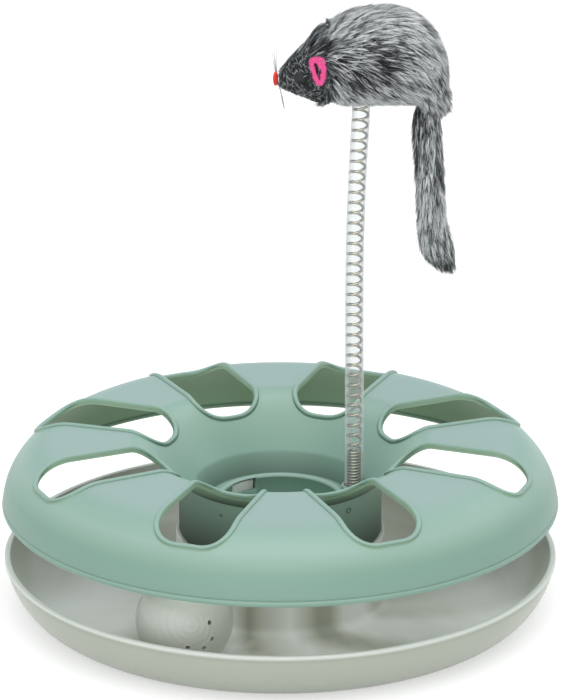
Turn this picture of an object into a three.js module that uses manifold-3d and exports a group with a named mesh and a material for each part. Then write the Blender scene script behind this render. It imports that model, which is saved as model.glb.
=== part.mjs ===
import * as THREE from "three";
import { mergeVertices } from "three/addons/utils/BufferGeometryUtils.js";
import Module from "manifold-3d";

// Cat carousel toy: a dished tray with a hollow drum in its middle, a ring-shaped cover that snaps
// on the drum, a rattling ball in the track between them, and a plush mouse on a coil spring.
// Millimetres, +Z up. The origin is on the floor, under the centre of the tray.

const wasm = await Module();
wasm.setup();

// Gap left between two pieces that touch
const seatGap = 0.3;

// Tray
const trayRimRadius = 118.4;
const trayRimHeight = 23.4;
const trayWallRun = 20.4; // from the flat base's edge out to the rim
const trayWall = 2.2;
const trayWallFullness = 1.3; // 1 is an elliptical wall, more is a straighter one
const rimBeadRadius = 1.4;
const drumRadius = 45;
const drumHeight = 34.2;
const drumRootRadius = 4;
const drumTopRadius = 1;
const spigotHeight = 4; // ring on the drum that centres the cover's skirt
const spigotWall = 2;

// Cover; its heights are counted from the drum's top, where the skirt stands
const coverRadius = 119.3;
const coverWall = 1.8;
const lipRise = 11.6;
const lipBeadRadius = 1.15;
const lipBeadOut = 0.3; // how far the bead stands out past the flank
const crestRise = 40.8;
const crestInnerRadius = 65.3; // the flat crest runs from the bowl
const crestOuterRadius = 92; // to the flank
const crestFall = 0.3; // how much lower the crest's outer edge lies
const flankFullness = 1.87; // exponent of the outer flank: 2 is an ellipse
const bowlShoulder = 8.4; // how far the crest's level holds the bowl's wall
const bowlFloorRun = 14; // how far the bowl's floor runs on before it turns up
const bowlFloorRise = 9; // and what it climbs on that run
const skirtRadius = 43.6;
const skirtWall = 1.8;
const ringRise = 14.1; // top of the ring round the middle recess
const ringBeadRadius = 1.3;
const recessRadius = 25.2;
const recessDepth = 10.6;

// Windows, cut through the cover from the flank to the bowl
const windowCount = 8;
const windowTurn = 2; // degrees that the first window's spoke stands off +X
const windowFromSkirt = 7.7;
const windowFromEdge = 9.8;
const windowInnerWidth = 28.4;
const windowOuterWidth = 32;
const windowInnerCorner = 11.8;
const windowOuterCorner = 12.3;
const windowBeadWidth = 2.2;
const windowBeadHeight = 0.8;

// Snap tabs that stand on the drum and hook into slots in the recess wall
const tabCount = 2;
const tabBearing = 131.5; // degrees round from +X
const tabThickness = 1.8;
const slotWidth = 11;
const slotRise = 8.1;
const slotHeight = 4.8;
const tabSideGap = 0.6;
const hookShy = 0.4; // how far the hook stays outside the recess

// Spring, its clear sleeve and the plug that it stands on
const springPlace = 31.6; // along +X from the middle
const springLean = 0.75; // degrees towards +X
const springLength = 187;
const wireRadius = 0.45;
const coilRadius = 2.9; // to the middle of the wire
const closedTurns = 15;
const closedPitch = 1.36;
const openTurns = 36;
const sleeveWall = 0.35;
const pegHeight = 11;
const bossWall = 1;
const bossRise = 19.5; // top of the boss in the bowl's floor, over the skirt's foot
const bossLength = 9.5;
const shoulderDrop = 5.9; // the spring's seat under the top of the boss
const plugFlange = 1.5;
const plugRim = 1.4;

// Plush mouse; x runs from the spring towards the tail, z up from the belly's fur
const bellyRise = 2.8; // the cap's mouth, and the skin under the belly
const capDepth = 8;
const capWall = 1.2;
const capTop = 1.5;
const headTip = -32.8;
const noseThickness = 2.2;
const noseWidth = 5.6;
const noseHeight = 6.8;
const noseRise = 11.7;
const noseSetOff = 1.8; // middle of the nose ahead of the head's tip
const eyeRadius = 2.3;
const eyePlace = -24.8;
const eyeRise = 14;
const eyeSink = 1.1; // middle of the eye under the head's skin
const earPlace = -18;
const earRise = 19.3;
const earHeight = 12;
const earWidth = 7;
const earBand = 1.8; // width of the felt strip's edge
const earDepth = 6;
const earOut = 10.6; // inner edge of the ear from the middle plane
const whiskerRadius = 0.22;
const whiskerKnot = 0.7;
const whiskerAhead = 0.7;

// Tail, a furry strip that hangs from a seam under the rump
const tailPlace = 29.1;
const tailDrop = 74;
const tailRadius = 4.2; // round top, about the seam that it swings on
const tailWidth = 9.8;
const tailThickness = 7.4;
const tailLean = 7.2; // the tip's offset to the rear

// Ball and the bell that rolls loose in it
const ballRadius = 20.4;
const ballWall = 2;
const ballFromRim = 32.4; // its path's distance inside the tray's rim
const ballBearing = 242.2; // degrees round from +X
const ballPole = [0.305, -0.951, 0.055]; // direction in which its sound holes look
const ballLap = 2;
const holeRadius = 0.75;
const holeRing = 7; // radius of the arc that they lie on
const holeBearings = [57, -7, -49, -111]; // degrees round the pole
const bellRadius = 6;
const bellWall = 0.6;
const bellSlot = 1.6;
const clapperRadius = 1.7;

// Facets
const ringSides = 48;
const smallSides = 20;
const beadSides = 6;
const curlSteps = 8;
const wireSides = 5;

const colours = {
  tray: { color: 0xc6cbc2, roughness: 0.35, metalness: 0 },
  cover: { color: 0x9cbfb0, roughness: 0.5, metalness: 0 },
  clear: { color: 0xdfe3e4, roughness: 0.2, metalness: 0, transparent: true, opacity: 0.4 },
  steel: { color: 0xb9b6ae, roughness: 0.25, metalness: 1 },
  darkPlastic: { color: 0x8fae9f, roughness: 0.5, metalness: 0 },
  fur: { color: 0x7c8182, roughness: 0.95, metalness: 0 },
  headFur: { color: 0x35373a, roughness: 0.95, metalness: 0 },
  felt: { color: 0xff4fa0, roughness: 0.9, metalness: 0 },
  nose: { color: 0xf03a33, roughness: 0.5, metalness: 0 },
  eye: { color: 0x1b1b18, roughness: 0.4, metalness: 0 },
  nylon: { color: 0xe6e9ea, roughness: 0.4, metalness: 0 },
  ball: { color: 0xc3c8c0, roughness: 0.3, metalness: 0 },
};

const deg = THREE.MathUtils.degToRad;

// Six times the signed volume that the triangles enclose, which is negative on an inside-out mesh
function signedVolume(position, index) {
  const a = new THREE.Vector3();
  const b = new THREE.Vector3();
  const c = new THREE.Vector3();
  let sum = 0;
  for (let i = 0; i < index.length; i += 3) {
    a.fromBufferAttribute(position, index[i]);
    b.fromBufferAttribute(position, index[i + 1]);
    c.fromBufferAttribute(position, index[i + 2]);
    sum += a.dot(b.cross(c));
  }
  return sum;
}

// A closed three.js geometry as a solid, its shared vertices merged and its faces turned out
function solid(geometry) {
  const bare = new THREE.BufferGeometry();
  bare.setAttribute("position", geometry.getAttribute("position").clone());
  if (geometry.index) bare.setIndex(geometry.index.clone());
  const merged = mergeVertices(bare, 1e-4);
  const corners = merged.index.array;
  const kept = [];
  for (let i = 0; i < corners.length; i += 3) {
    const [a, b, c] = [corners[i], corners[i + 1], corners[i + 2]];
    if (a !== b && b !== c && c !== a) kept.push(a, b, c);
  }
  if (signedVolume(merged.getAttribute("position"), kept) < 0) kept.reverse();
  return new wasm.Manifold(
    new wasm.Mesh({
      numProp: 3,
      vertProperties: new Float32Array(merged.getAttribute("position").array),
      triVerts: new Uint32Array(kept),
    }),
  );
}

// A solid back as a geometry
function geometryOf(body) {
  const mesh = body.getMesh();
  const geometry = new THREE.BufferGeometry();
  geometry.setAttribute("position", new THREE.BufferAttribute(mesh.vertProperties, 3));
  geometry.setIndex(new THREE.BufferAttribute(mesh.triVerts, 1));
  geometry.computeVertexNormals();
  return geometry;
}

// A named mesh of one piece, from a solid or a geometry
function piece(name, shape, colour) {
  const geometry = shape.isBufferGeometry ? shape : geometryOf(shape);
  const mesh = new THREE.Mesh(geometry, new THREE.MeshStandardMaterial(colours[colour]));
  mesh.name = name;
  return mesh;
}

const joined = (parts) => parts.reduce((all, next) => all.add(next));

// Turns a [radius, height] profile about the Z axis
function turned(profile, sides = ringSides) {
  const points = profile.map(([r, z]) => new THREE.Vector2(Math.max(r, 0), z));
  return solid(new THREE.LatheGeometry(points, sides).rotateX(Math.PI / 2));
}

// A ring of round section
function bead(radius, height, sectionRadius) {
  const profile = [];
  for (let i = 0; i <= beadSides; i++) {
    const turn = (i % beadSides) * 2 * Math.PI / beadSides;
    profile.push([
      radius + sectionRadius * Math.cos(turn),
      height + sectionRadius * Math.sin(turn),
    ]);
  }
  return turned(profile);
}

function box(x, y, z, at = [0, 0, 0]) {
  return solid(new THREE.BoxGeometry(x, y, z).translate(...at));
}

function rod(radius, length, at = [0, 0, 0], sides = smallSides) {
  const geometry = new THREE.CylinderGeometry(radius, radius, length, sides);
  return solid(geometry.rotateX(Math.PI / 2).translate(...at));
}

// A profile moved square to itself by the given distance, to its left
function offset(profile, distance) {
  return profile.map(([r, z], i) => {
    const [r0, z0] = profile[Math.max(i - 1, 0)];
    const [r1, z1] = profile[Math.min(i + 1, profile.length - 1)];
    const long = Math.hypot(r1 - r0, z1 - z0);
    return [r - (z1 - z0) / long * distance, z + (r1 - r0) / long * distance];
  });
}

function closedBand(upper, lower) {
  return [...upper, ...[...lower].reverse(), upper[0]];
}

// The tray: floor, dished wall with a rolled rim, drum with its spigot, and the snap tabs
const trayFootRadius = trayRimRadius - trayWallRun;
const wallSteps = 6;
const trayOuterWall = [];
for (let i = 0; i <= wallSteps; i++) {
  const turn = i / wallSteps * Math.PI / 2;
  trayOuterWall.push([
    trayFootRadius + (trayRimRadius - trayFootRadius) * Math.sin(turn),
    (trayRimHeight - rimBeadRadius) * (1 - Math.cos(turn) ** trayWallFullness),
  ]);
}
const trayInnerWall = offset(trayOuterWall, trayWall);
trayInnerWall[0] = [trayFootRadius, trayWall];
const rimPoint = trayInnerWall.length - 1;
trayInnerWall[rimPoint] = [trayRimRadius - trayWall, trayRimHeight - rimBeadRadius];

const spigotRadius = skirtRadius - skirtWall - seatGap;
const drumRoot = [];
for (const turn of [0, 30, 60, 90]) {
  drumRoot.push([
    drumRadius + drumRootRadius * (1 - Math.cos(deg(turn))),
    trayWall + drumRootRadius * (1 - Math.sin(deg(turn))),
  ]);
}
const trayBody = turned([
  [0, drumHeight],
  [spigotRadius - spigotWall, drumHeight],
  [spigotRadius - spigotWall, drumHeight + spigotHeight],
  [spigotRadius, drumHeight + spigotHeight],
  [spigotRadius, drumHeight],
  [drumRadius - drumTopRadius, drumHeight],
  [drumRadius, drumHeight - drumTopRadius],
  ...drumRoot,
  ...trayInnerWall,
  ...[...trayOuterWall].reverse(),
  [drumRadius - trayWall, 0],
  [drumRadius - trayWall, drumHeight - trayWall],
  [0, drumHeight - trayWall],
]);
const rimBead = bead(trayRimRadius - trayWall / 2, trayRimHeight - rimBeadRadius, rimBeadRadius);

const coverSeat = drumHeight + seatGap;
const tabInner = recessRadius + coverWall + seatGap;
const tabTop = coverSeat + slotRise + slotHeight - seatGap;
const tabWidth = slotWidth - 2 * tabSideGap;
const hookHeight = slotHeight - 2 * seatGap;
const hookReach = tabInner - recessRadius - hookShy + tabThickness / 2;
const tabs = [];
for (let i = 0; i < tabCount; i++) {
  const rootDepth = trayWall / 2;
  const tall = tabTop - drumHeight + rootDepth;
  const post = box(tabThickness, tabWidth, tall, [tabInner + tabThickness / 2, 0, tabTop - tall / 2]);
  const hook = box(hookReach, tabWidth, hookHeight, [
    recessRadius + hookShy + hookReach / 2,
    0,
    tabTop - hookHeight / 2,
  ]);
  tabs.push(post.add(hook).rotate([0, 0, tabBearing + i * 360 / tabCount]));
}
const tray = piece("tray", joined([trayBody, rimBead, ...tabs]), "tray");

// The cover's upper surface, from the ring round the recess over the crest to the lip
const funnelSteps = 5;
const flankSteps = 5;
const ringRadius = recessRadius + coverWall;
const funnel = new THREE.CubicBezierCurve(
  new THREE.Vector2(ringRadius, ringRise),
  new THREE.Vector2(ringRadius + bowlFloorRun, ringRise + bowlFloorRise),
  new THREE.Vector2(crestInnerRadius - bowlShoulder, crestRise),
  new THREE.Vector2(crestInnerRadius, crestRise),
);
const coverTop = funnel.getPoints(funnelSteps).map((p) => [p.x, p.y]);
const flankFoot = lipRise + lipBeadRadius;
const flankHeight = crestRise - crestFall - flankFoot;
for (let i = 0; i <= flankSteps; i++) {
  const turn = i / flankSteps * Math.PI / 2;
  coverTop.push([
    crestOuterRadius
      + (coverRadius - crestOuterRadius) * Math.sin(turn) ** (2 / flankFullness),
    flankFoot + flankHeight * Math.max(Math.cos(turn), 0) ** (2 / flankFullness),
  ]);
}

// Height of the upper surface in the bowl at a radius
function bowlHeight(radius) {
  const i = coverTop.findIndex(([r]) => r > radius);
  const [r0, z0] = coverTop[i - 1];
  const [r1, z1] = coverTop[i];
  return z0 + (z1 - z0) * (radius - r0) / (r1 - r0);
}

const shell = turned(closedBand(coverTop, offset(coverTop, -coverWall)));
const raisedSkin = turned(
  closedBand(offset(coverTop, windowBeadHeight), offset(coverTop, -coverWall / 2)),
);
const skirtInner = skirtRadius - skirtWall;
const skirt = turned([
  [skirtInner, 0],
  [skirtRadius, 0],
  [skirtRadius, bowlHeight(skirtRadius) - coverWall],
  [skirtInner, bowlHeight(skirtInner) - coverWall],
  [skirtInner, 0],
]);
const recessFloor = ringRise - recessDepth;
const recess = turned([
  [0, recessFloor - coverWall],
  [ringRadius, recessFloor - coverWall],
  [ringRadius, ringRise],
  [recessRadius, ringRise],
  [recessRadius, recessFloor],
  [0, recessFloor],
]);
const ringBead = bead(ringRadius - ringBeadRadius / 2, ringRise, ringBeadRadius);
const lipBead = bead(coverRadius + lipBeadOut - lipBeadRadius, lipRise + lipBeadRadius, lipBeadRadius);

// Outline of a window in plan, along +X, grown all round by the given width
function windowOutline(grow) {
  const inner = skirtRadius + windowFromSkirt - grow;
  const outer = coverRadius - windowFromEdge + grow;
  const innerHalf = windowInnerWidth / 2 + grow;
  const outerHalf = windowOuterWidth / 2 + grow;
  const innerCorner = windowInnerCorner + grow;
  const outerCorner = windowOuterCorner + grow;
  const side = new THREE.Vector2(outer - inner, outerHalf - innerHalf).normalize();
  const shape = new THREE.Shape();
  shape.moveTo(inner, innerCorner - innerHalf);
  shape.lineTo(inner, innerHalf - innerCorner);
  shape.quadraticCurveTo(
    inner, innerHalf, inner + side.x * innerCorner, innerHalf + side.y * innerCorner);
  shape.lineTo(outer - side.x * outerCorner, outerHalf - side.y * outerCorner);
  shape.quadraticCurveTo(outer, outerHalf, outer, outerHalf - outerCorner);
  shape.lineTo(outer, outerCorner - outerHalf);
  shape.quadraticCurveTo(
    outer, -outerHalf, outer - side.x * outerCorner, side.y * outerCorner - outerHalf);
  shape.lineTo(inner + side.x * innerCorner, -innerHalf - side.y * innerCorner);
  shape.quadraticCurveTo(inner, -innerHalf, inner, innerCorner - innerHalf);
  return shape;
}

// A prism on that outline, tall enough to pass the shell from below the lip to above the crest
function windowPrism(grow) {
  const tall = crestRise + 2 * coverWall;
  const settings = { depth: tall, bevelEnabled: false, curveSegments: 3 };
  return solid(new THREE.ExtrudeGeometry(windowOutline(grow), settings));
}

const bandPrism = windowPrism(windowBeadWidth);
const holePrism = windowPrism(0);
const bands = [];
const holes = [];
for (let i = 0; i < windowCount; i++) {
  const turn = windowTurn + (i + 0.5) * 360 / windowCount;
  bands.push(bandPrism.rotate([0, 0, turn]).intersect(raisedSkin));
  holes.push(holePrism.rotate([0, 0, turn]));
}

// Slots for the snap tabs, and the boss that the spring stands in
const slots = [];
for (let i = 0; i < tabCount; i++) {
  const cut = box(4 * coverWall, slotWidth, slotHeight, [ringRadius, 0, slotRise + slotHeight / 2]);
  slots.push(cut.rotate([0, 0, tabBearing + i * 360 / tabCount]));
}
const sleeveInner = coilRadius + wireRadius + seatGap;
const sleeveOuter = sleeveInner + sleeveWall;
const bossBore = sleeveOuter + seatGap;
const bossRadius = bossBore + bossWall;
const boss = rod(bossRadius, bossLength, [springPlace, 0, bossRise - bossLength / 2]);
const bossHole = rod(bossBore, crestRise, [springPlace, 0, bossRise - bossLength + crestRise / 2 - 2]);
const coverBody = joined([shell, skirt, recess, ringBead, lipBead, ...bands, boss]);
const cover = piece("cover", coverBody.subtract(joined([...holes, ...slots, bossHole])), "cover");

// The plug, pushed into the boss from below: a flange, a body and the peg inside the coils
const springSeat = bossRise - shoulderDrop;
const plugBottom = bossRise - bossLength - seatGap;
const plugRadius = bossBore - seatGap;
const pegRadius = coilRadius - wireRadius - seatGap;
const plug = turned([
  [0, plugBottom - plugFlange],
  [plugRadius + plugRim, plugBottom - plugFlange],
  [plugRadius + plugRim, plugBottom],
  [plugRadius, plugBottom],
  [plugRadius, springSeat],
  [pegRadius, springSeat],
  [pegRadius, springSeat + pegHeight - pegRadius / 2],
  [pegRadius / 2, springSeat + pegHeight],
  [0, springSeat + pegHeight],
], smallSides);
// The flange is cut back where it would meet the recess wall
const recessRoom = rod(ringRadius + seatGap, crestRise, [-springPlace, 0, 0], ringSides);
const springFoot = piece("spring_foot", plug.subtract(recessRoom), "darkPlastic");
springFoot.position.x = springPlace;

// Middle line of the spring's wire: both ends run straight, square to the plug and the cap
function springPath() {
  const path = [];
  const straight = 2 * wireRadius;
  const low = seatGap;
  const high = springLength - seatGap;
  const closedHeight = closedTurns * closedPitch;
  const helixLow = low + straight + wireRadius;
  const helixHigh = high - straight - wireRadius;
  const openPitch = (helixHigh - helixLow - closedHeight) / openTurns;
  const bend = Math.PI / curlSteps; // the wire turns up over this angle before its first curl
  const onCoil = (turn, z) =>
    path.push(new THREE.Vector3(coilRadius * Math.cos(turn), coilRadius * Math.sin(turn), z));
  onCoil(-bend, low);
  onCoil(-bend, low + straight);
  const steps = (closedTurns + openTurns) * curlSteps;
  for (let i = 0; i <= steps; i++) {
    const turns = i / curlSteps;
    const rise = Math.min(turns, closedTurns) * closedPitch
      + Math.max(turns - closedTurns, 0) * openPitch;
    onCoil(turns * 2 * Math.PI, helixLow + rise);
  }
  const last = (closedTurns + openTurns) * 2 * Math.PI;
  onCoil(last + bend, high - straight);
  onCoil(last + bend, high);
  return path;
}

// Least distance between stretches of the wire that lie half a turn or more apart, less its thickness
function leastGap(path) {
  let least = Infinity;
  const between = new THREE.Line3();
  const near = new THREE.Vector3();
  for (let i = 0; i < path.length; i++) {
    for (let j = i + curlSteps / 2; j < Math.min(i + 2 * curlSteps, path.length - 1); j++) {
      between.set(path[j], path[j + 1]).closestPointToPoint(path[i], true, near);
      least = Math.min(least, near.distanceTo(path[i]));
    }
  }
  return least - 2 * wireRadius;
}

// One unbroken tube along a path, with a frame carried from point to point
function tube(path, radius, sides) {
  const positions = [];
  const index = [];
  const before = new THREE.Vector3();
  const after = new THREE.Vector3();
  const along = new THREE.Vector3();
  const side = new THREE.Vector3(1, 0, 0);
  const up = new THREE.Vector3();
  path.forEach((point, i) => {
    before.subVectors(point, path[Math.max(i - 1, 0)]).normalize();
    after.subVectors(path[Math.min(i + 1, path.length - 1)], point).normalize();
    along.addVectors(before, after).normalize();
    side.addScaledVector(along, -side.dot(along)).normalize();
    up.crossVectors(along, side);
    for (let k = 0; k < sides; k++) {
      const turn = k * 2 * Math.PI / sides;
      const corner = point.clone();
      corner.addScaledVector(side, radius * Math.cos(turn));
      corner.addScaledVector(up, radius * Math.sin(turn));
      positions.push(corner.x, corner.y, corner.z);
    }
  });
  for (let i = 0; i + 1 < path.length; i++) {
    for (let k = 0; k < sides; k++) {
      const a = i * sides + k;
      const b = i * sides + (k + 1) % sides;
      index.push(a, b, b + sides, a, b + sides, a + sides);
    }
  }
  const end = (path.length - 1) * sides;
  for (let k = 1; k + 1 < sides; k++) {
    index.push(0, k + 1, k, end, end + k, end + k + 1);
  }
  const geometry = new THREE.BufferGeometry();
  geometry.setAttribute("position", new THREE.Float32BufferAttribute(positions, 3));
  geometry.setIndex(index);
  return geometry;
}

const wirePath = springPath();
console.log("spring: least gap between turns " + leastGap(wirePath).toFixed(2) + " mm");
const spring = piece("spring", solid(tube(wirePath, wireRadius, wireSides)), "steel");

const sleeveTop = springLength - capDepth;
const sleeve = piece("spring_sleeve", turned([
  [sleeveInner, seatGap],
  [sleeveOuter, seatGap],
  [sleeveOuter, springLength - seatGap],
  [sleeveInner, springLength - seatGap],
  [sleeveInner, seatGap],
], smallSides), "clear");

// A swelling, tapering body along X: each station is its place, its middle's height and its half
// height and half width, and the first and last are points
function loft(stations, grow = 0) {
  const sides = 20;
  const steps = 14;
  const spine = new THREE.CatmullRomCurve3(stations.map((s) => new THREE.Vector3(s[0], 0, s[1])));
  const sizes = new THREE.CatmullRomCurve3(stations.map((s) => new THREE.Vector3(s[2], s[3], 0)));
  const positions = [];
  const index = [];
  const first = spine.getPoint(0);
  const last = spine.getPoint(1);
  positions.push(first.x - grow, 0, first.z);
  for (let i = 1; i < steps; i++) {
    const share = (1 - Math.cos(i / steps * Math.PI)) / 2;
    const middle = spine.getPoint(share);
    const size = sizes.getPoint(share);
    for (let k = 0; k < sides; k++) {
      const turn = k * 2 * Math.PI / sides;
      positions.push(
        middle.x,
        (size.y + grow) * Math.cos(turn),
        middle.z + (size.x + grow) * Math.sin(turn),
      );
    }
  }
  positions.push(last.x + grow, 0, last.z);
  const tip = positions.length / 3 - 1;
  for (let k = 0; k < sides; k++) {
    const next = (k + 1) % sides;
    index.push(0, 1 + k, 1 + next);
    for (let i = 0; i + 2 < steps; i++) {
      const a = 1 + i * sides + k;
      const b = 1 + i * sides + next;
      index.push(a, a + sides, b + sides, a, b + sides, b);
    }
    index.push(tip, tip - sides + next, tip - sides + k);
  }
  const geometry = new THREE.BufferGeometry();
  geometry.setAttribute("position", new THREE.Float32BufferAttribute(positions, 3));
  geometry.setIndex(index);
  return solid(geometry);
}

const bodyStations = [
  [-20.6, 16.4, 0, 0],
  [-19.4, 16.6, 8.5, 7.5],
  [-15.6, 17.6, 13.5, 12.4],
  [-8.6, 19.7, 17, 15.4],
  [0, 21.3, 18.5, 16.9],
  [13.4, 22.4, 19.4, 17.4],
  [25.4, 21.2, 17.6, 15.8],
  [32.4, 19.3, 12.8, 11.6],
  [35.6, 17.9, 7.6, 7],
  [36.8, 17.4, 0, 0],
];
const headStations = [
  [headTip, 12, 0, 0],
  [-31.8, 12.1, 4, 3.8],
  [-28.6, 13.3, 7.4, 6.6],
  [-22.6, 15.6, 11.2, 9.8],
  [-16.6, 17.3, 15, 13.6],
  [-12.4, 18.4, 13.6, 12],
  [-10.4, 18.8, 0, 0],
];
const bodyGrown = loft(bodyStations, seatGap);
const headGrown = loft(headStations, seatGap);
const mouseSkin = bodyGrown.add(headGrown);

// The cap: an inverted cup in the belly that holds the spring's top end
const capInner = sleeveOuter + seatGap;
const capOuter = capInner + capWall;
const capHeight = capDepth + capTop;
const cap = turned([
  [0, bellyRise + capHeight],
  [capOuter, bellyRise + capHeight],
  [capOuter, bellyRise],
  [capInner, bellyRise],
  [capInner, bellyRise + capDepth],
  [pegRadius, bellyRise + capDepth],
  [pegRadius, bellyRise],
  [0, bellyRise],
], smallSides);
const capPocketHeight = 2 * capHeight + seatGap;
const capPocket = rod(capOuter + seatGap, capPocketHeight, [
  0,
  0,
  bellyRise + capHeight + seatGap - capPocketHeight / 2,
]);

// Whiskers: strands that cross in a knot between the nose and the head
const knotPlace = new THREE.Vector3(headTip - whiskerAhead, 0, noseRise);
const whiskerEnds = [
  [-2.5, -2.4, 13.2],
  [-1.4, 0.4, 12.8],
  [-2, 2.7, 12.4],
  [3.2, -2, -13.4],
  [2.6, 0.3, -12.8],
  [3.8, 2.2, -12.2],
];
function whiskers(radius) {
  const strands = whiskerEnds.map((end) => {
    const reach = new THREE.Vector3(...end);
    const geometry = new THREE.CylinderGeometry(radius, radius, reach.length(), 4);
    geometry.translate(0, reach.length() / 2, 0);
    geometry.applyQuaternion(
      new THREE.Quaternion().setFromUnitVectors(new THREE.Vector3(0, 1, 0), reach.normalize()),
    );
    return solid(geometry.translate(...knotPlace));
  });
  const knot = new THREE.SphereGeometry(whiskerKnot - whiskerRadius + radius, 8, 5);
  return joined([solid(knot.translate(...knotPlace)), ...strands]);
}
const whiskerRoom = whiskers(whiskerRadius + seatGap);

function ellipsoid(x, y, z, at) {
  const geometry = new THREE.SphereGeometry(0.5, 12, 8);
  return solid(geometry.scale(x, y, z).translate(...at));
}

const noseMiddle = [headTip - noseSetOff, 0, noseRise];
const nose = ellipsoid(noseThickness, noseWidth, noseHeight, noseMiddle)
  .subtract(headGrown)
  .subtract(whiskerRoom);

// Half width of the head at a place along it
function headHalfWidth(place) {
  const i = headStations.findIndex((s) => s[0] > place);
  const low = headStations[i - 1];
  const high = headStations[i];
  return low[3] + (high[3] - low[3]) * (place - low[0]) / (high[0] - low[0]);
}

// An ear: a strip of felt folded to a drop-shaped loop that stands out from the head
function ear(side) {
  const drop = (inset) => {
    const half = earWidth / 2 - inset;
    const top = earHeight / 2 - inset;
    const foot = inset * 1.6 - earHeight / 2;
    const shape = new THREE.Shape();
    shape.moveTo(half * 0.5, foot);
    shape.bezierCurveTo(half, foot, half, foot + 1.5, half, 0);
    shape.bezierCurveTo(half, top * 0.8, half * 0.8, top, 0, top);
    shape.bezierCurveTo(-half, top, -half * 1.2, top * 0.7, -half * 0.8, top * 0.1);
    shape.bezierCurveTo(-half * 0.5, foot * 0.5, -half * 0.3, foot, half * 0.5, foot);
    return shape;
  };
  const outline = drop(0);
  outline.holes.push(drop(earBand));
  const settings = { depth: earDepth, bevelEnabled: false, curveSegments: 4 };
  const loop = solid(new THREE.ExtrudeGeometry(outline, settings).rotateX(Math.PI / 2));
  const placed = loop.translate([earPlace, -earOut, earRise]).subtract(mouseSkin);
  return side < 0 ? placed : placed.mirror([0, 1, 0]);
}

function eye(side) {
  const out = headHalfWidth(eyePlace) - eyeSink;
  const size = 2 * eyeRadius;
  return ellipsoid(size, size, size, [eyePlace, side * out, eyeRise]).subtract(mouseSkin);
}

const springGroup = new THREE.Group();
springGroup.position.set(springPlace, 0, springSeat);
springGroup.rotation.y = deg(springLean);
springGroup.add(spring, sleeve);

const mouse = new THREE.Group();
mouse.position.z = springLength - capDepth - bellyRise;
mouse.add(
  piece("mouse_cap", cap, "darkPlastic"),
  piece("mouse_body", loft(bodyStations).subtract(capPocket), "fur"),
  piece("mouse_head", loft(headStations).subtract(bodyGrown).subtract(whiskerRoom), "headFur"),
  piece("ear_right", ear(-1), "felt"),
  piece("ear_left", ear(1), "felt"),
  piece("eye_right", eye(-1), "eye"),
  piece("eye_left", eye(1), "eye"),
  piece("nose", nose, "nose"),
  piece("whiskers", whiskers(whiskerRadius), "nylon"),
);

// Height of the skin under the belly at a place along the body
function bellyUnder(place) {
  const i = bodyStations.findIndex((s) => s[0] > place);
  const low = bodyStations[i - 1];
  const high = bodyStations[i];
  const share = (place - low[0]) / (high[0] - low[0]);
  const middle = low[1] + (high[1] - low[1]) * share;
  return middle - low[2] - (high[2] - low[2]) * share;
}

// The tail's stations run down from the seam; it is lofted along X and then turned to hang
const tailHalfWidth = tailWidth / 2;
const tailHalfDepth = tailThickness / 2;
const tailEnd = tailDrop - tailRadius;
const tailBelow = loft([
  [-tailRadius, 0, 0, 0],
  [-0.8 * tailRadius, 0, 0.6 * tailRadius, 0.6 * tailRadius],
  [0, 0, tailRadius, tailRadius],
  [2 * tailRadius, 0.02 * tailLean, tailHalfWidth, tailHalfDepth],
  [0.5 * tailEnd, 0.26 * tailLean, tailHalfWidth, tailHalfDepth],
  [0.8 * tailEnd, 0.56 * tailLean, tailHalfWidth, tailHalfDepth],
  [0.96 * tailEnd, 0.88 * tailLean, 0.8 * tailHalfWidth, 0.8 * tailHalfDepth],
  [tailEnd, tailLean, 0, 0],
]);
const tailHung = tailBelow.rotate([0, 90, 0]);
const tailRise = bellyUnder(tailPlace) - tailRadius - seatGap;
const tail = piece("mouse_tail", tailHung.translate([tailPlace, 0, tailRise]), "fur");
mouse.add(tail);
springGroup.add(mouse);

// Half of the ball's shell: its edge laps half the wall's thickness past the seam
function ballHalf(outerLap) {
  const arc = (radius, from, to) => {
    const steps = 6;
    const points = [];
    for (let i = 0; i <= steps; i++) {
      const turn = deg(from + (to - from) * i / steps);
      points.push([radius * Math.cos(turn), radius * Math.sin(turn)]);
    }
    return points;
  };
  const inner = ballRadius - ballWall;
  const lap = THREE.MathUtils.radToDeg(ballLap / ballRadius);
  const gap = THREE.MathUtils.radToDeg(seatGap / ballRadius);
  const middle = ballRadius - ballWall / 2;
  if (outerLap) {
    return turned([
      ...arc(ballRadius, 90, -lap),
      ...arc(middle + seatGap / 2, -lap, gap).slice(0, 1),
      ...arc(middle + seatGap / 2, -lap, gap).slice(-1),
      ...arc(inner, gap, 90),
    ], smallSides);
  }
  return turned([
    ...arc(inner, -90, 0),
    ...arc(middle - seatGap / 2, 0, -lap - gap).slice(0, 1),
    ...arc(middle - seatGap / 2, 0, -lap - gap).slice(-1),
    ...arc(ballRadius, -lap - gap, -90),
  ], smallSides);
}

const soundHoles = holeBearings.map((bearing) => {
  const at = [holeRing * Math.cos(deg(bearing)), holeRing * Math.sin(deg(bearing)), ballRadius];
  return rod(holeRadius, 4 * ballWall, at, 8);
});
const ballShells = new THREE.Group();
ballShells.add(
  piece("ball_front_half", ballHalf(true).subtract(joined(soundHoles)), "ball"),
  piece("ball_back_half", ballHalf(false), "ball"),
);
ballShells.quaternion.setFromUnitVectors(
  new THREE.Vector3(0, 0, 1),
  new THREE.Vector3(...ballPole).normalize(),
);

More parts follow.
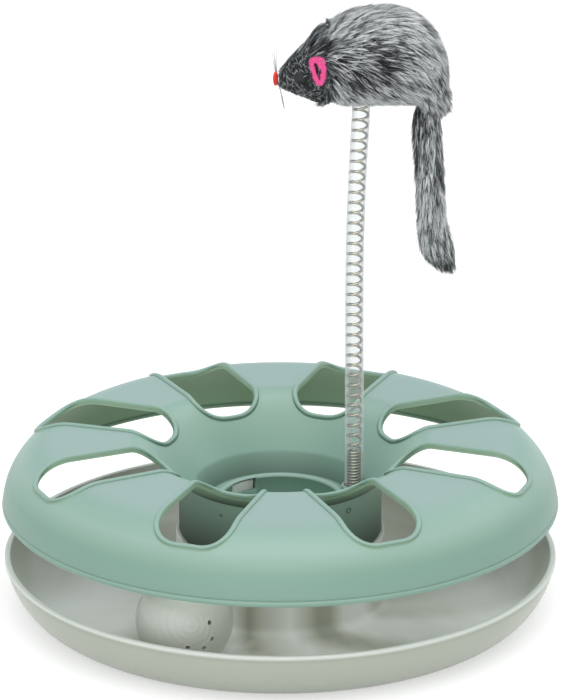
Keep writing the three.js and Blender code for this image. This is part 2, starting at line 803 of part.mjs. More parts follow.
// The bell lies at the bottom of the ball, and its clapper at the bottom of the bell
const bellInner = bellRadius - bellWall;
const hollowSphere = ellipsoid(2 * bellRadius, 2 * bellRadius, 2 * bellRadius, [0, 0, 0])
  .subtract(ellipsoid(2 * bellInner, 2 * bellInner, 2 * bellInner, [0, 0, 0]))
  .subtract(box(bellSlot, 1.6 * bellRadius, bellRadius + bellWall, [0, 0, bellRadius]));
const clapperSize = 2 * clapperRadius;
const clapperDrop = bellInner - clapperRadius - seatGap;
const clapper = ellipsoid(clapperSize, clapperSize, clapperSize, [0, 0, -clapperDrop]);
const bell = new THREE.Group();
bell.add(piece("bell_shell", hollowSphere, "steel"), piece("bell_clapper", clapper, "steel"));
bell.position.z = bellRadius + seatGap + ballWall - ballRadius;

const ball = new THREE.Group();
const ballPath = trayRimRadius - ballFromRim;
ball.position.set(
  ballPath * Math.cos(deg(ballBearing)),
  ballPath * Math.sin(deg(ballBearing)),
  trayWall + seatGap + ballRadius,
);
ball.add(ballShells, bell);

const coverGroup = new THREE.Group();
coverGroup.position.z = coverSeat;
coverGroup.add(cover, springFoot, springGroup);

const toy = new THREE.Group();
toy.name = "cat_carousel_toy";
toy.add(tray, ball, coverGroup);

export default toy;
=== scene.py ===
import math

import bpy
import numpy as np
from mathutils import Matrix, Vector
from mathutils.bvhtree import BVHTree


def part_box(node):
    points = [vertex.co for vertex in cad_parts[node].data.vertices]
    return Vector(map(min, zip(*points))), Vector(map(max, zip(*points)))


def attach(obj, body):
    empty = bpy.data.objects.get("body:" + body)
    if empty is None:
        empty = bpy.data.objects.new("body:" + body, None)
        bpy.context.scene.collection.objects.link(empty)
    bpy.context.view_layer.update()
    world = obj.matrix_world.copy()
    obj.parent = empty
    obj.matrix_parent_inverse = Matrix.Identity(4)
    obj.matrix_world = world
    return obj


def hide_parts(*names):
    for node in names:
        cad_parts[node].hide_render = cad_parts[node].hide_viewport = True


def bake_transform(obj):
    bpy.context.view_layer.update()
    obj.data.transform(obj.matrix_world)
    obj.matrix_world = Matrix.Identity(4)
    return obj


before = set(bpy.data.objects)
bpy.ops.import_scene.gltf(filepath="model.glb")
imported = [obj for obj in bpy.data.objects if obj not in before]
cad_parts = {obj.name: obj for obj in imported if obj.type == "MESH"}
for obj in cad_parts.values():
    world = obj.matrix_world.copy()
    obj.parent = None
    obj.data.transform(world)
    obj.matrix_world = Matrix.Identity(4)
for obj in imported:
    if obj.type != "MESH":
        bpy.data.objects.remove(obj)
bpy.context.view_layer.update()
mm = 0.001
chance = np.random.default_rng(7)
print("frame loaded")

# Camera: a long lens from the front, a little above the toy

camera = {
    "aim": (0.76, 0, 115.3),  # mm, the point in the middle of the picture
    "distance": 2200,
    "elevation": 19.85,  # degrees above the horizon
    "lens": 265.5,
}


def addCamera():
    rise = math.radians(camera["elevation"])
    back = Vector((0, -math.cos(rise), math.sin(rise)))
    place = (Vector(camera["aim"]) + camera["distance"] * back) * mm
    bpy.ops.object.camera_add(location=place, rotation=(math.pi / 2 - rise, 0, 0))
    bpy.context.object.data.lens = camera["lens"]
    bpy.context.scene.camera = bpy.context.object


addCamera()

# Small tools for meshes and materials


def linear(hexColour):
    shares = [int(hexColour[i : i + 2], 16) / 255 for i in (1, 3, 5)]
    return [c / 12.92 if c <= 0.04045 else ((c + 0.055) / 1.055) ** 2.4 for c in shares]


def rgba(hexColour):
    return [*linear(hexColour), 1]


def addNode(tree, kind, settings=None, links=None):
    node = tree.nodes.new(kind)
    for name, value in (settings or {}).items():
        if isinstance(name, int) or name in node.inputs:
            node.inputs[name].default_value = value
        else:
            setattr(node, name, value)
    for name, socket in (links or {}).items():
        tree.links.new(socket, node.inputs[name])
    return node


def newMaterial(name, settings):
    material = bpy.data.materials.new(name)
    material.use_nodes = True
    tree = material.node_tree
    shader = tree.nodes["Principled BSDF"]
    for socket, value in settings.items():
        shader.inputs[socket].default_value = value
    return material, tree, shader


def plainMaterial(name, colour, rough, more=None):
    return newMaterial(name, {"Base Color": rgba(colour), "Roughness": rough, **(more or {})})[0]


def addBump(tree, shader, height, strength, depth):
    settings = {"Strength": strength, "Distance": depth * mm}
    bump = addNode(tree, "ShaderNodeBump", settings, {"Height": height})
    tree.links.new(bump.outputs["Normal"], shader.inputs["Normal"])


def mathNode(tree, operation, first, second=None, number=None):
    settings = {"operation": operation}
    if number is not None:
        settings[1] = number
    links = {0: first} if second is None else {0: first, 1: second}
    return addNode(tree, "ShaderNodeMath", settings, links).outputs[0]


def mixOf(tree, share, first, second):
    return addNode(tree, "ShaderNodeMixShader", links={0: share, 1: first, 2: second}).outputs[0]


def ramp(tree, source, stops):
    node = addNode(tree, "ShaderNodeValToRGB", links={"Fac": source})
    for i, (place, colour) in enumerate(stops):
        stop = node.color_ramp.elements[i] if i < 2 else node.color_ramp.elements.new(place)
        stop.position = place
        stop.color = rgba(colour)
    return node.outputs["Color"]


# Gives a piece its one material and its place in the frame
def finish(piece, material, body, node=None):
    piece.data.materials.clear()
    piece.data.materials.append(material)
    if node:
        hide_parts(node)
    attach(piece, body)


def deselect():
    if bpy.context.object and bpy.context.object.mode == "EDIT":
        bpy.ops.object.mode_set(mode="OBJECT")
    bpy.ops.object.select_all(action="DESELECT")


def chooseOnly(piece):
    deselect()
    piece.select_set(True)
    bpy.context.view_layer.objects.active = piece


def editAll(piece=None):
    if piece:
        chooseOnly(piece)
    bpy.ops.object.mode_set(mode="EDIT")
    bpy.ops.mesh.select_all(action="SELECT")


def endWithNormalsOut():
    bpy.ops.mesh.select_all(action="SELECT")
    bpy.ops.mesh.normals_make_consistent(inside=False)
    bpy.ops.object.mode_set(mode="OBJECT")


def applyAll(piece):
    chooseOnly(piece)
    for modifier in list(piece.modifiers):
        bpy.ops.object.modifier_apply(modifier=modifier.name)


def joinAll(pieces):
    chooseOnly(pieces[0])
    for piece in pieces[1:]:
        piece.select_set(True)
    bpy.ops.object.join()
    return bpy.context.object


def smooth(piece, angle=35):
    chooseOnly(piece)
    bpy.ops.object.shade_smooth_by_angle(angle=math.radians(angle))


def named(name):
    bpy.context.object.name = name
    bpy.context.object.data.name = name
    return bpy.context.object


# A chain of edges through (radius, height) points in millimetres, drawn in the XZ plane
def drawProfile(name, points):
    deselect()
    bpy.ops.mesh.primitive_plane_add(size=mm)
    piece = named(name)
    bpy.ops.object.mode_set(mode="EDIT")
    bpy.ops.mesh.merge(type="CENTER")
    last = (0, 0)
    for i, (r, z) in enumerate(points):
        step = ((r - last[0]) * mm, 0, (z - last[1]) * mm)
        if i == 0:
            bpy.ops.transform.translate(value=step)
        else:
            bpy.ops.mesh.extrude_region_move(TRANSFORM_OT_translate={"value": step})
        last = (r, z)
    return piece


# That chain spun about the Z axis to a closed shell
def spinProfile(name, points, steps=256):
    piece = drawProfile(name, points)
    bpy.ops.mesh.select_all(action="SELECT")
    bpy.ops.mesh.spin(steps=steps, angle=2 * math.pi, center=(0, 0, 0), axis=(0, 0, 1))
    bpy.ops.mesh.select_all(action="SELECT")
    bpy.ops.mesh.remove_doubles(threshold=1e-6)
    bpy.ops.mesh.dissolve_degenerate(threshold=1e-7)
    endWithNormalsOut()
    return piece


def arc(centre, radius, start, end, steps):
    points = []
    for i in range(steps + 1):
        turn = math.radians(start + (end - start) * i / steps)
        points.append((centre[0] + radius * math.cos(turn), centre[1] + radius * math.sin(turn)))
    return points


# A line of points moved square to itself, to its left
def offset(points, distance):
    moved = []
    for i, (r, z) in enumerate(points):
        r0, z0 = points[max(i - 1, 0)]
        r1, z1 = points[min(i + 1, len(points) - 1)]
        long = math.hypot(r1 - r0, z1 - z0)
        moved.append((r - (z1 - z0) / long * distance, z + (r1 - r0) / long * distance))
    return moved


def unit(vectors):
    return vectors / np.maximum(np.linalg.norm(vectors, axis=-1, keepdims=True), 1e-9)


def turnedAbout(piece, degrees):
    piece.data.transform(Matrix.Rotation(math.radians(degrees), 4, "Z"))
    return piece


# Stretches a piece about the origin, then moves it there by millimetres
def movedTo(piece, place, size=(1, 1, 1)):
    piece.data.transform(Matrix.Translation(Vector(place) * mm) @ Matrix.Diagonal((*size, 1)))
    return piece


def box(name, place, size):
    bpy.ops.mesh.primitive_cube_add(size=mm)
    return movedTo(named(name), place, size)


def copyOf(piece, name):
    twin = piece.copy()
    twin.data = piece.data.copy()
    twin.name = name
    bpy.context.collection.objects.link(twin)
    return twin


# Cuts the solids of another piece out of this one
def cutOut(piece, cutter):
    modifier = piece.modifiers.new("cut", "BOOLEAN")
    modifier.object = cutter
    modifier.operation = "DIFFERENCE"
    modifier.solver = "EXACT"
    applyAll(piece)
    bpy.data.objects.remove(cutter)


# Plastics: both mouldings are polypropylene, which gives a soft satin gloss with no sharp edges


def mouldedPlastic(name, rough, grain):
    material, tree, shader = newMaterial(name, {"Roughness": rough, "IOR": 1.49})
    place = addNode(tree, "ShaderNodeTexCoord").outputs["Object"]
    # The base colour comes from the attribute painted by paintBy, which holds painted light and
    # shade besides the plastic's own colour
    shadedPaint = addNode(tree, "ShaderNodeAttribute", {"attribute_name": "shadedPaint"})
    tree.links.new(shadedPaint.outputs["Color"], shader.inputs["Base Color"])
    spark = addNode(
        tree, "ShaderNodeTexNoise", {"Scale": 1 / (grain * mm), "Detail": 3.0}, {"Vector": place}
    )
    addBump(tree, shader, spark.outputs["Fac"], 0.25, 0.03)
    return material


# Colours between stops, for an array of places along them
def between(values, stops):
    colours = np.array([rgba(colour) for place, colour in stops])
    places = [place for place, colour in stops]
    return np.column_stack([np.interp(values, places, colours[:, i]) for i in range(4)])


# Paints a piece by where its surface lies and how it faces, painting light and shade into its
# colour
def paintBy(piece, colourOf):
    mesh = piece.data
    spots = np.empty(len(mesh.vertices) * 3, np.float32)
    facing = np.empty(len(mesh.vertices) * 3, np.float32)
    mesh.vertices.foreach_get("co", spots)
    mesh.vertices.foreach_get("normal", facing)
    colours = colourOf(spots.reshape(-1, 3) / mm, facing.reshape(-1, 3))
    shadedPaint = mesh.color_attributes.new("shadedPaint", "FLOAT_COLOR", "POINT")
    shadedPaint.data.foreach_set("color", colours.astype(np.float32).ravel())


# How much a surface faces away from the middle
def outwardness(spots, facing):
    radius = np.maximum(np.hypot(spots[:, 0], spots[:, 1]), 1)
    return (facing[:, 0] * spots[:, 0] + facing[:, 1] * spots[:, 1]) / radius


# Greyer where it lies flat, greener on its slopes, yellower inside and dark in its wells, all
# painted light
def coverColourAndShade(spots, facing):
    radius = np.hypot(spots[:, 0], spots[:, 1])
    up = facing[:, 2]
    # Painted shade deep in the bowl, darkest at the groove by the ring; inside the ring it turns to
    # painted light
    wellShade = np.interp(radius, (31, 36, 52, 66), (1, 0.8, 0.5, 0)) * (up > 0.1)
    wellShade = np.where(radius < 29, -0.3, wellShade)
    # Shades by how far a face turns up: the grey-blue on top is a painted reflection of the sky,
    # the darker greens painted shade
    facingShades = [
        (-0.1, "#465c50"), (0.12, "#62806f"), (0.35, "#7b9e8d"), (0.6, "#90af9f"),
        (0.7, "#97b4a6"), (0.9, "#8dada0"), (0.98, "#96afa8"),
    ]
    outsideShaded = between(up - 0.55 * wellShade, facingShades)
    # Painted shade on faces turned in or down, darkest on the skirt under the crest
    inside = between(radius, [(44, "#2e3f32"), (52, "#7d9a80"), (70, "#a2c1a1")])
    # A painted highlight along the lip's bead, with painted shade just above it
    rim = (radius > 116.5) & (outwardness(spots, facing) > 0.2)
    edge = between(spots[:, 2], [(cover["seat"], "#98baa9"), (cover["seat"] + 5, "#82a494")])
    outsideShaded = np.where((rim & (up < 0.4))[:, None], edge, outsideShaded)
    turned = np.where(rim, 1, np.interp(up, (-0.05, 0.1), (0, 1)))[:, None]
    return inside + (outsideShaded - inside) * turned


# The dish's inside is satin, with soft painted reflections round it; its wall is duller, its rim
# painted pale
def trayColourAndLight(spots, facing):
    radius = np.hypot(spots[:, 0], spots[:, 1])
    bearing = np.degrees(np.arctan2(spots[:, 1], spots[:, 0]))
    out = outwardness(spots, facing)
    inner = np.interp(out - 1.5 * facing[:, 2], (-0.2, 0.3), (1, 0))
    inner = np.where(radius < 60, 1, inner) * (facing[:, 2] > -0.5)
    # Painted shadow behind the front of the rim
    rimShadow = np.exp(-(((bearing - tray["rimShadow"]) / 9) ** 2)) * np.interp(radius, (90, 108), (0, 1))
    bearing = (bearing - tray["gleamTwist"] * (radius - 75) + 180) % 360 - 180
    # Soft painted reflections round the inside, turned a little with radius and weaker near the
    # wall
    gleam = np.interp(bearing, *zip(*tray["paintedGleams"]))
    gleam = gleam * np.interp(radius, (100, 112), (1, 0.6))
    satinReflections = between(gleam, [(-0.5, "#a6a89b"), (0, "#cbccbf"), (0.5, "#e2e3dc"), (1, "#f8f7f5")])
    # Painted shade towards the back of the dish
    satinReflections *= 1 - 0.24 * np.clip((spots[:, 1:2] + 10) / 40, 0, 1)
    satinReflections *= 1 - 0.3 * rimShadow[:, None]
    # The outer wall is painted darker towards its foot, as shade
    wall = between(radius, [(100, "#a8afa1"), (116, "#b3b9ab")])
    colours = wall + (satinReflections - wall) * inner[:, None]
    # A painted highlight along the top of the rim
    rim = (radius > 113) & (spots[:, 2] > tray["rimTop"] - 1.6) & (out > -0.6)
    return np.where(rim[:, None], rgba("#dadfd8"), colours)


coverPlastic = mouldedPlastic("moulded_polypropylene_sage", rough=0.42, grain=0.9)
trayPlastic = mouldedPlastic("moulded_polypropylene_warm_grey", rough=0.27, grain=1.2)

# Tray: a dished wall with a rolled rim, and a hollow drum in the middle

tray = {
    "rimRadius": 118.4,
    "rimTop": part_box("tray")[0][2] / mm + 24,
    "footRadius": 98,
    "wall": 2.2,
    "fullness": 1.3,
    "rimWidth": 2.6,
    "drumRadius": 45,
    "drumTop": 34.2,
    "drumRoot": 4,
    "spigotRadius": 41.5,
    "spigotHeight": 4,
    "tabBearings": (129.9, 309.9),
    "tabPlace": 27.3,
    # Painted light on the dish's inside: the bearing of a painted shadow behind the rim, and of
    # soft painted reflections
    "rimShadow": -93,  # bearing of the dark place behind the rim
    "gleamTwist": 0.45,  # degrees that the soft lights turn by, per millimetre outwards
    "paintedGleams": [  # bearing and strength of the soft lights on the inside
        (-180, 0.9), (-172, 0.9), (-166, 0.85), (-158, 1), (-152, 1), (-142, 0),
        (-118, 0.4), (-111, 0.7), (-102, 1), (-94, -0.4), (-86, 0.3), (-71, 1), (-56, -0.4),
        (-48, -0.3), (-40, 0.9), (-23, 1), (-14, 0.3), (-2, 0.4), (8, 0.1), (50, 0),
        (70, 0.5), (90, 0.8), (110, 0.3), (130, 0), (160, 0.5), (180, 0.9),
    ],
}


def makeTray():
    t = tray
    rimBase = t["rimTop"] - 1.6
    outer = []
    for i in range(25):
        turn = i / 24 * math.pi / 2
        outer.append(
            (
                t["footRadius"] + (t["rimRadius"] - t["footRadius"]) * math.sin(turn),
                rimBase * (1 - math.cos(turn) ** t["fullness"]),
            )
        )
    inner = [(r, z) for r, z in offset(outer, t["wall"]) if r < t["rimRadius"] - t["wall"]]
    inner[0] = (t["footRadius"], t["wall"])
    rim = t["rimRadius"] + 0.6
    top = t["rimTop"]
    roll = [
        (rim - t["rimWidth"], top - 1.4),
        *arc((rim - t["rimWidth"] + 0.7, top - 0.7), 0.7, 180, 90, 4),
        *arc((rim - 0.8, top - 0.8), 0.8, 90, 0, 5),
        *arc((rim - 0.6, top - 1.7), 0.6, 0, -80, 4),
        (t["rimRadius"] - 0.25, rimBase - 0.7),
    ]
    drum = t["drumRadius"]
    spigot = t["spigotRadius"]
    under = drum - t["wall"]
    profile = [
        (0, t["drumTop"]),
        (spigot - 2, t["drumTop"]),
        (spigot - 2, t["drumTop"] + t["spigotHeight"] - 0.3),
        (spigot - 1.7, t["drumTop"] + t["spigotHeight"]),
        (spigot - 0.3, t["drumTop"] + t["spigotHeight"]),
        (spigot, t["drumTop"] + t["spigotHeight"] - 0.3),
        (spigot, t["drumTop"]),
        *arc((drum - 1, t["drumTop"] - 1), 1, 90, 0, 5),
        *arc((drum + t["drumRoot"], t["wall"] + t["drumRoot"]), t["drumRoot"], 180, 270, 8),
        (60, t["wall"]),
        (75, t["wall"]),
        (90, t["wall"]),
        *inner,
        *roll,
        *[p for p in outer[::-1] if p[1] < rimBase - 1.2],
        (under + 0.6, 0),
        (under, 0.6),
        *arc((under - 1.5, t["drumTop"] - t["wall"] - 1.5), 1.5, 0, 90, 4),
        (0, t["drumTop"] - t["wall"]),
    ]
    body = spinProfile("trayBody", profile)
    tabs = []
    for turn in t["tabBearings"]:
        for size, place in (
            ((1.4, 12.4, 14.1), (t["tabPlace"] + 0.3, 0, 40.1)),
            ((2.2, 12.4, 4.6), (t["tabPlace"] - 0.6, 0, 44.9)),
        ):
            tab = box("snapTab", place, size)
            bevel = tab.modifiers.new("round", "BEVEL")
            bevel.width = 0.4 * mm
            bevel.segments = 3
            applyAll(tab)
            tabs.append(turnedAbout(tab, turn))
    piece = joinAll([body, *tabs])
    piece.name = "trayMoulding"
    smooth(piece, 40)
    paintBy(piece, trayColourAndLight)
    finish(piece, trayPlastic, "base", "tray")
    print("tray made")


makeTray()

# Places of the spring, which stands in the cover's boss

spring = {
    "foot": (31.6, 0, 48.1),
    "lean": 0.75,  # degrees, towards +X
    "length": 187,
    "wire": 0.56,
    "coil": 3.05,
    "low": 1.2,
    "closedTurns": 15,
    "closedPitch": 1.36,
    "openTurns": (11, 25),  # below and above the place where the two bends meet
    "sleeve": (3.65, 4.0),
    "bow": 1.45,  # how far it hangs out of straight
    "bowSpan": (50, 220),  # heights between which it hangs out
    "narrow": 0.86,  # the closed coils' share of the open coils' width
    "bends": ((50, 118), (121, 222)),  # heights of the lower and the upper bend
    "bendAxis": 32.5,
    "mouseRise": 176.2,  # where the mouse sits, along the spring
}
spring["openPitch"] = (
    spring["length"] - 2 * spring["low"] - spring["closedTurns"] * spring["closedPitch"]
) / sum(spring["openTurns"])
spring["seam"] = (
    spring["low"]
    + spring["closedTurns"] * spring["closedPitch"]
    + spring["openTurns"][0] * spring["openPitch"]
)
springFrame = Matrix.Translation(Vector(spring["foot"]) * mm) @ Matrix.Rotation(
    math.radians(spring["lean"]), 4, "Y"
)

# Cover: a ring with eight windows, a dished bowl and a recess in the middle

cover = {
    "seat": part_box("cover")[0][2] / mm,
    "radius": 119.3,
    "wall": 1.8,
    "lipRise": 11.6,
    "lipBead": 1.2,
    "crestInner": 65.3,
    "crestOuter": 92,
    "crestRise": 40.8,
    "crestFall": 0.3,
    "flankFullness": 1.87,
    "bowlShoulder": 8.4,
    "bowlFloorRun": 14,
    "bowlFloorRise": 9,
    "ringRise": 14.1,
    "ringOuter": 28.4,
    "grooveRadius": 31.2,  # foot of the bowl's steep wall, outside the ring
    "grooveRise": 12.3,
    "steepTop": 35.2,
    "recessRadius": 25.2,
    "recessDepth": 10.6,
    "skirtRadius": 43.6,
    "slotRise": 10.8,
    "slotSize": (6, 13.6, 5.4),
    "bore": 4.4,  # radius of the hole for the spring, through the boss
    "boss": (5.3, 45, 54),  # radius, bottom and top
    "marks": ((-48.3, 54.7, 1.1), (-125.2, 53.7, 0.35)),  # bearing, height and radius
}
window = {
    "count": 8,
    "turn": 2,
    "inner": 51.3,
    "outer": 109.5,
    "innerWidth": 28.4,
    "outerWidth": 32,
    "innerCorner": 11.8,
    "outerCorner": 12.3,
    "beadRadius": 1.25,
    "beadSink": 0.15,
}


# The cover's upper line from the ring over the crest to the lip, as (radius, height)
def coverTopLine():
    c = cover
    ring = c["recessRadius"] + c["wall"]
    bowl = [
        (ring, c["ringRise"]),
        (ring + c["bowlFloorRun"], c["ringRise"] + c["bowlFloorRise"]),
        (c["crestInner"] - c["bowlShoulder"], c["crestRise"]),
        (c["crestInner"], c["crestRise"]),
    ]
    line = []
    for i in range(31):
        s = i / 30
        weights = [(1 - s) ** 3, 3 * s * (1 - s) ** 2, 3 * s * s * (1 - s), s**3]
        line.append(tuple(sum(w * p[k] for w, p in zip(weights, bowl)) for k in (0, 1)))
    lip = c["lipRise"] + c["lipBead"]
    edge = c["crestRise"] - c["crestFall"]
    for i in range(1, 8):
        s = i / 8
        flat = c["crestInner"] + (c["crestOuter"] - c["crestInner"]) * s
        line.append((flat, c["crestRise"] - c["crestFall"] * s))
    for i in range(41):
        turn = i / 40 * math.pi / 2
        line.append(
            (
                c["crestOuter"]
                + (c["radius"] - c["crestOuter"]) * math.sin(turn) ** (2 / c["flankFullness"]),
                lip + (edge - lip) * max(math.cos(turn), 0) ** (2 / c["flankFullness"]),
            )
        )
    return [(r, z + c["seat"]) for r, z in line]


topLine = coverTopLine()
topRadii = np.array([p[0] for p in topLine])
topHeights = np.array([p[1] for p in topLine])


# Outline of one window in plan along +X, as a flat face
def windowFace(name):
    w = window
    deselect()
    bpy.ops.mesh.primitive_plane_add(size=1)
    piece = named(name)
    corners = [
        (w["inner"], -w["innerWidth"] / 2),
        (w["outer"], -w["outerWidth"] / 2),
        (w["inner"], w["innerWidth"] / 2),
        (w["outer"], w["outerWidth"] / 2),
    ]
    for vertex, (x, y) in zip(piece.data.vertices, corners):
        vertex.co = (x * mm, y * mm, 0)
    for inward, size in ((True, w["innerCorner"]), (False, w["outerCorner"])):
        bpy.ops.object.mode_set(mode="EDIT")
        bpy.ops.mesh.select_all(action="DESELECT")
        bpy.ops.object.mode_set(mode="OBJECT")
        for vertex in piece.data.vertices:
            vertex.select = (vertex.co.x < (w["inner"] + w["outer"]) / 2 * mm) == inward
        bpy.ops.object.mode_set(mode="EDIT")
        bpy.ops.mesh.bevel(offset=size * mm, segments=10, affect="VERTICES", profile=0.56)
    bpy.ops.object.mode_set(mode="OBJECT")
    return piece


# Points of that outline in order, evenly spread
def windowPath():
    face = windowFace("windowOutline")
    loop = [Vector(face.data.vertices[i].co) / mm for i in face.data.polygons[0].vertices]
    bpy.data.objects.remove(face)
    dense = []
    for a, b in zip(loop, loop[1:] + loop[:1]):
        cuts = max(1, round((b - a).length / 1.2))
        dense += [a.lerp(b, i / cuts) for i in range(cuts)]
    return np.array([(p.x, p.y) for p in dense])


# The cover's top surface and its normals over places in plan
def surfaceAt(plan):
    radii = np.hypot(plan[:, 0], plan[:, 1])
    heights = np.interp(radii, topRadii, topHeights)
    slopes = np.interp(radii, topRadii, np.gradient(topHeights, topRadii))
    normals = np.column_stack([-slopes[:, None] * plan / radii[:, None], np.ones(len(plan))])
    return np.column_stack([plan, heights]), unit(normals)


# A round tube through points in millimetres
def pipe(name, points, radius, closed=False, sides=4, taper=1):
    curve = bpy.data.curves.new(name, "CURVE")
    curve.dimensions = "3D"
    curve.bevel_depth = radius * mm
    curve.bevel_resolution = sides
    curve.use_fill_caps = not closed
    spline = curve.splines.new("POLY")
    spline.points.add(len(points) - 1)
    for i, (target, point) in enumerate(zip(spline.points, points)):
        target.co = (*[v * mm for v in point], 1)
        target.radius = 1 + (taper - 1) * i / (len(points) - 1)
    spline.use_cyclic_u = closed
    piece = bpy.data.objects.new(name, curve)
    bpy.context.collection.objects.link(piece)
    chooseOnly(piece)
    bpy.ops.object.convert(target="MESH")
    return bpy.context.object


def makeCover():
    c = cover
    seat = c["seat"]
    ring = c["recessRadius"] + c["wall"]
    ringTop = seat + c["ringRise"]
    floor = ringTop - c["recessDepth"]
    groove = seat + c["grooveRise"]
    lipZ = seat + c["lipRise"] + c["lipBead"]
    steep = c["steepTop"]
    inside = [p for p in offset(topLine, -c["wall"]) if p[0] > steep - 0.5]
    lip = c["radius"] + 0.3 - c["lipBead"]
    profile = [
        (0, floor),
        *arc((c["recessRadius"] - 1.2, floor + 1.2), 1.2, 270, 360, 4),
        *arc((c["recessRadius"] + 1.3, ringTop - 1.2), 1.3, 180, 95, 6),
        *arc((c["ringOuter"] - 1.5, ringTop - 1.4), 1.5, 85, 0, 7),
        *arc((c["ringOuter"] + 1, groove + 1), 1, 180, 270, 4),
        *arc((c["grooveRadius"] - 0.8, groove + 1.2), 1.2, 270, 332, 5),
        *[p for p in topLine if p[0] > steep and p[1] > lipZ + 3.2],
        (c["radius"] - 0.2, lipZ + 3),
        (c["radius"] - 0.1, lipZ + 2),
        (c["radius"] - 0.45, lipZ + 1.6),
        (c["radius"] - 0.5, lipZ + 1.25),
        *arc((lip, lipZ), c["lipBead"], 60, -200, 12),
        *[p for p in inside[::-1] if p[1] > lipZ + 0.6],
        (c["grooveRadius"] + 0.6, groove - 1.2),
        (c["grooveRadius"] - 0.6, groove - c["wall"]),
        (ring + 0.6, groove - c["wall"]),
        (ring, groove - c["wall"] - 0.6),
        *arc((ring - 1, floor - c["wall"] + 1), 1, 0, -90, 4),
        (0, floor - c["wall"]),
    ]
    shell = spinProfile("coverShell", profile, 288)
    cutters = []
    for i in range(window["count"]):
        face = windowFace("windowCutter")
        editAll(face)
        bpy.ops.transform.translate(value=(0, 0, (seat + 4) * mm))
        bpy.ops.mesh.extrude_region_move(TRANSFORM_OT_translate={"value": (0, 0, 60 * mm)})
        endWithNormalsOut()
        cutters.append(turnedAbout(face, window["turn"] + (i + 0.5) * 360 / window["count"]))
    for turn in tray["tabBearings"]:
        slot = box("slotCutter", (ring - 0.6, 0, seat + c["slotRise"]), c["slotSize"])
        cutters.append(turnedAbout(slot, turn))
    bpy.ops.mesh.primitive_cylinder_add(vertices=48, radius=c["bore"] * mm, depth=60 * mm)
    cutters.append(movedTo(named("boreCutter"), (spring["foot"][0], 0, seat + 30)))
    cutOut(shell, joinAll(cutters))
    smooth(shell, 30)

    outer = c["skirtRadius"]
    inner = outer - c["wall"]
    inRoof, outRoof = (float(np.interp(r, topRadii, topHeights)) - 0.9 for r in (inner, outer))
    skirt = [(inner, seat), (outer - 0.3, seat), (outer, seat + 0.3), (outer, outRoof)]
    skirt = spinProfile("coverSkirt", [*skirt, (inner, inRoof), (inner, seat)], 192)
    smooth(skirt, 40)
    bore, (wide, low, high) = c["bore"], c["boss"]
    boss = [(bore, low), (wide, low), (wide, high - 0.3), (wide - 0.3, high), (bore, high)]
    boss = spinProfile("springBoss", [*boss, (bore, low)], 48)
    smooth(movedTo(boss, (spring["foot"][0], 0, 0)), 40)

    marks = []
    for bearing, height, size in c["marks"]:
        bpy.ops.mesh.primitive_torus_add(
            major_segments=32, minor_segments=8, major_radius=size * mm, minor_radius=0.28 * mm
        )
        mark = named("mouldMark")
        mark.data.transform(Matrix.Rotation(math.pi / 2, 4, "Y"))
        marks.append(turnedAbout(movedTo(mark, (outer, 0, height)), bearing))
        smooth(mark, 80)

    path = windowPath()
    points, normals = surfaceAt(path)
    along = unit(np.roll(points, -1, axis=0) - np.roll(points, 1, axis=0))
    outward = unit(np.cross(along, normals))
    if (outward[:, :2] * (path - path.mean(axis=0))).sum() < 0:
        outward = -outward
    middle = points + outward * (window["beadRadius"] - 0.15) - normals * window["beadSink"]
    bead = pipe("windowBead", middle, window["beadRadius"], closed=True)
    beads = [turnedAbout(bead, window["turn"] + 180 / window["count"])]
    for i in range(1, window["count"]):
        beads.append(turnedAbout(copyOf(bead, "windowBead"), i * 360 / window["count"]))
    for piece in beads:
        smooth(piece, 60)
    piece = joinAll([shell, skirt, boss, *marks, *beads])
    piece.name = "coverMoulding"
    paintBy(piece, coverColourAndShade)
    finish(piece, coverPlastic, "base", "cover")
    print("cover made")


makeCover()

# Ball: two halves of a hollow shell, with sound holes in an arc near the front pole

ball = {
    "centre": (-40.11, -76.07, 22.9),
    "radius": 20.4,
    "wall": 2,
    "pole": (0.305, -0.951, 0.055),
    "swirl": (-4.3, 3.5),  # middle of the mould's rings, beside the pole
    "ringPitch": 2.6,
    "holeRing": 7,
    "holeRadius": 0.98,
    "holeRim": (1.3, 0.4),  # radius of the ring and of its bead
    "holes": (57, -7, -49, -111),  # degrees round the pole
}


# Pale polystyrene: a soft gloss, with the faint rings that the mould left about the pole
def ballPlasticMaterial():
    material, tree, shader = newMaterial(
        "moulded_polystyrene_pale_grey",
        {"Base Color": rgba("#d9dcd4"), "Roughness": 0.34, "IOR": 1.52},
    )
    away = addNode(tree, "ShaderNodeAttribute", {"attribute_name": "fromPole"}).outputs["Fac"]
    turn = mathNode(tree, "MULTIPLY", away, number=2 * math.pi / ball["ringPitch"])
    wave = mathNode(tree, "SINE", turn)
    fade = addNode(
        tree, "ShaderNodeMapRange", {"From Min": 15.0, "From Max": 11.0}, {"Value": away}
    )
    relief = mathNode(tree, "MULTIPLY", wave, fade.outputs["Result"])
    addBump(tree, shader, relief, 0.5, 0.1)
    return material


ballPlastic = ballPlasticMaterial()


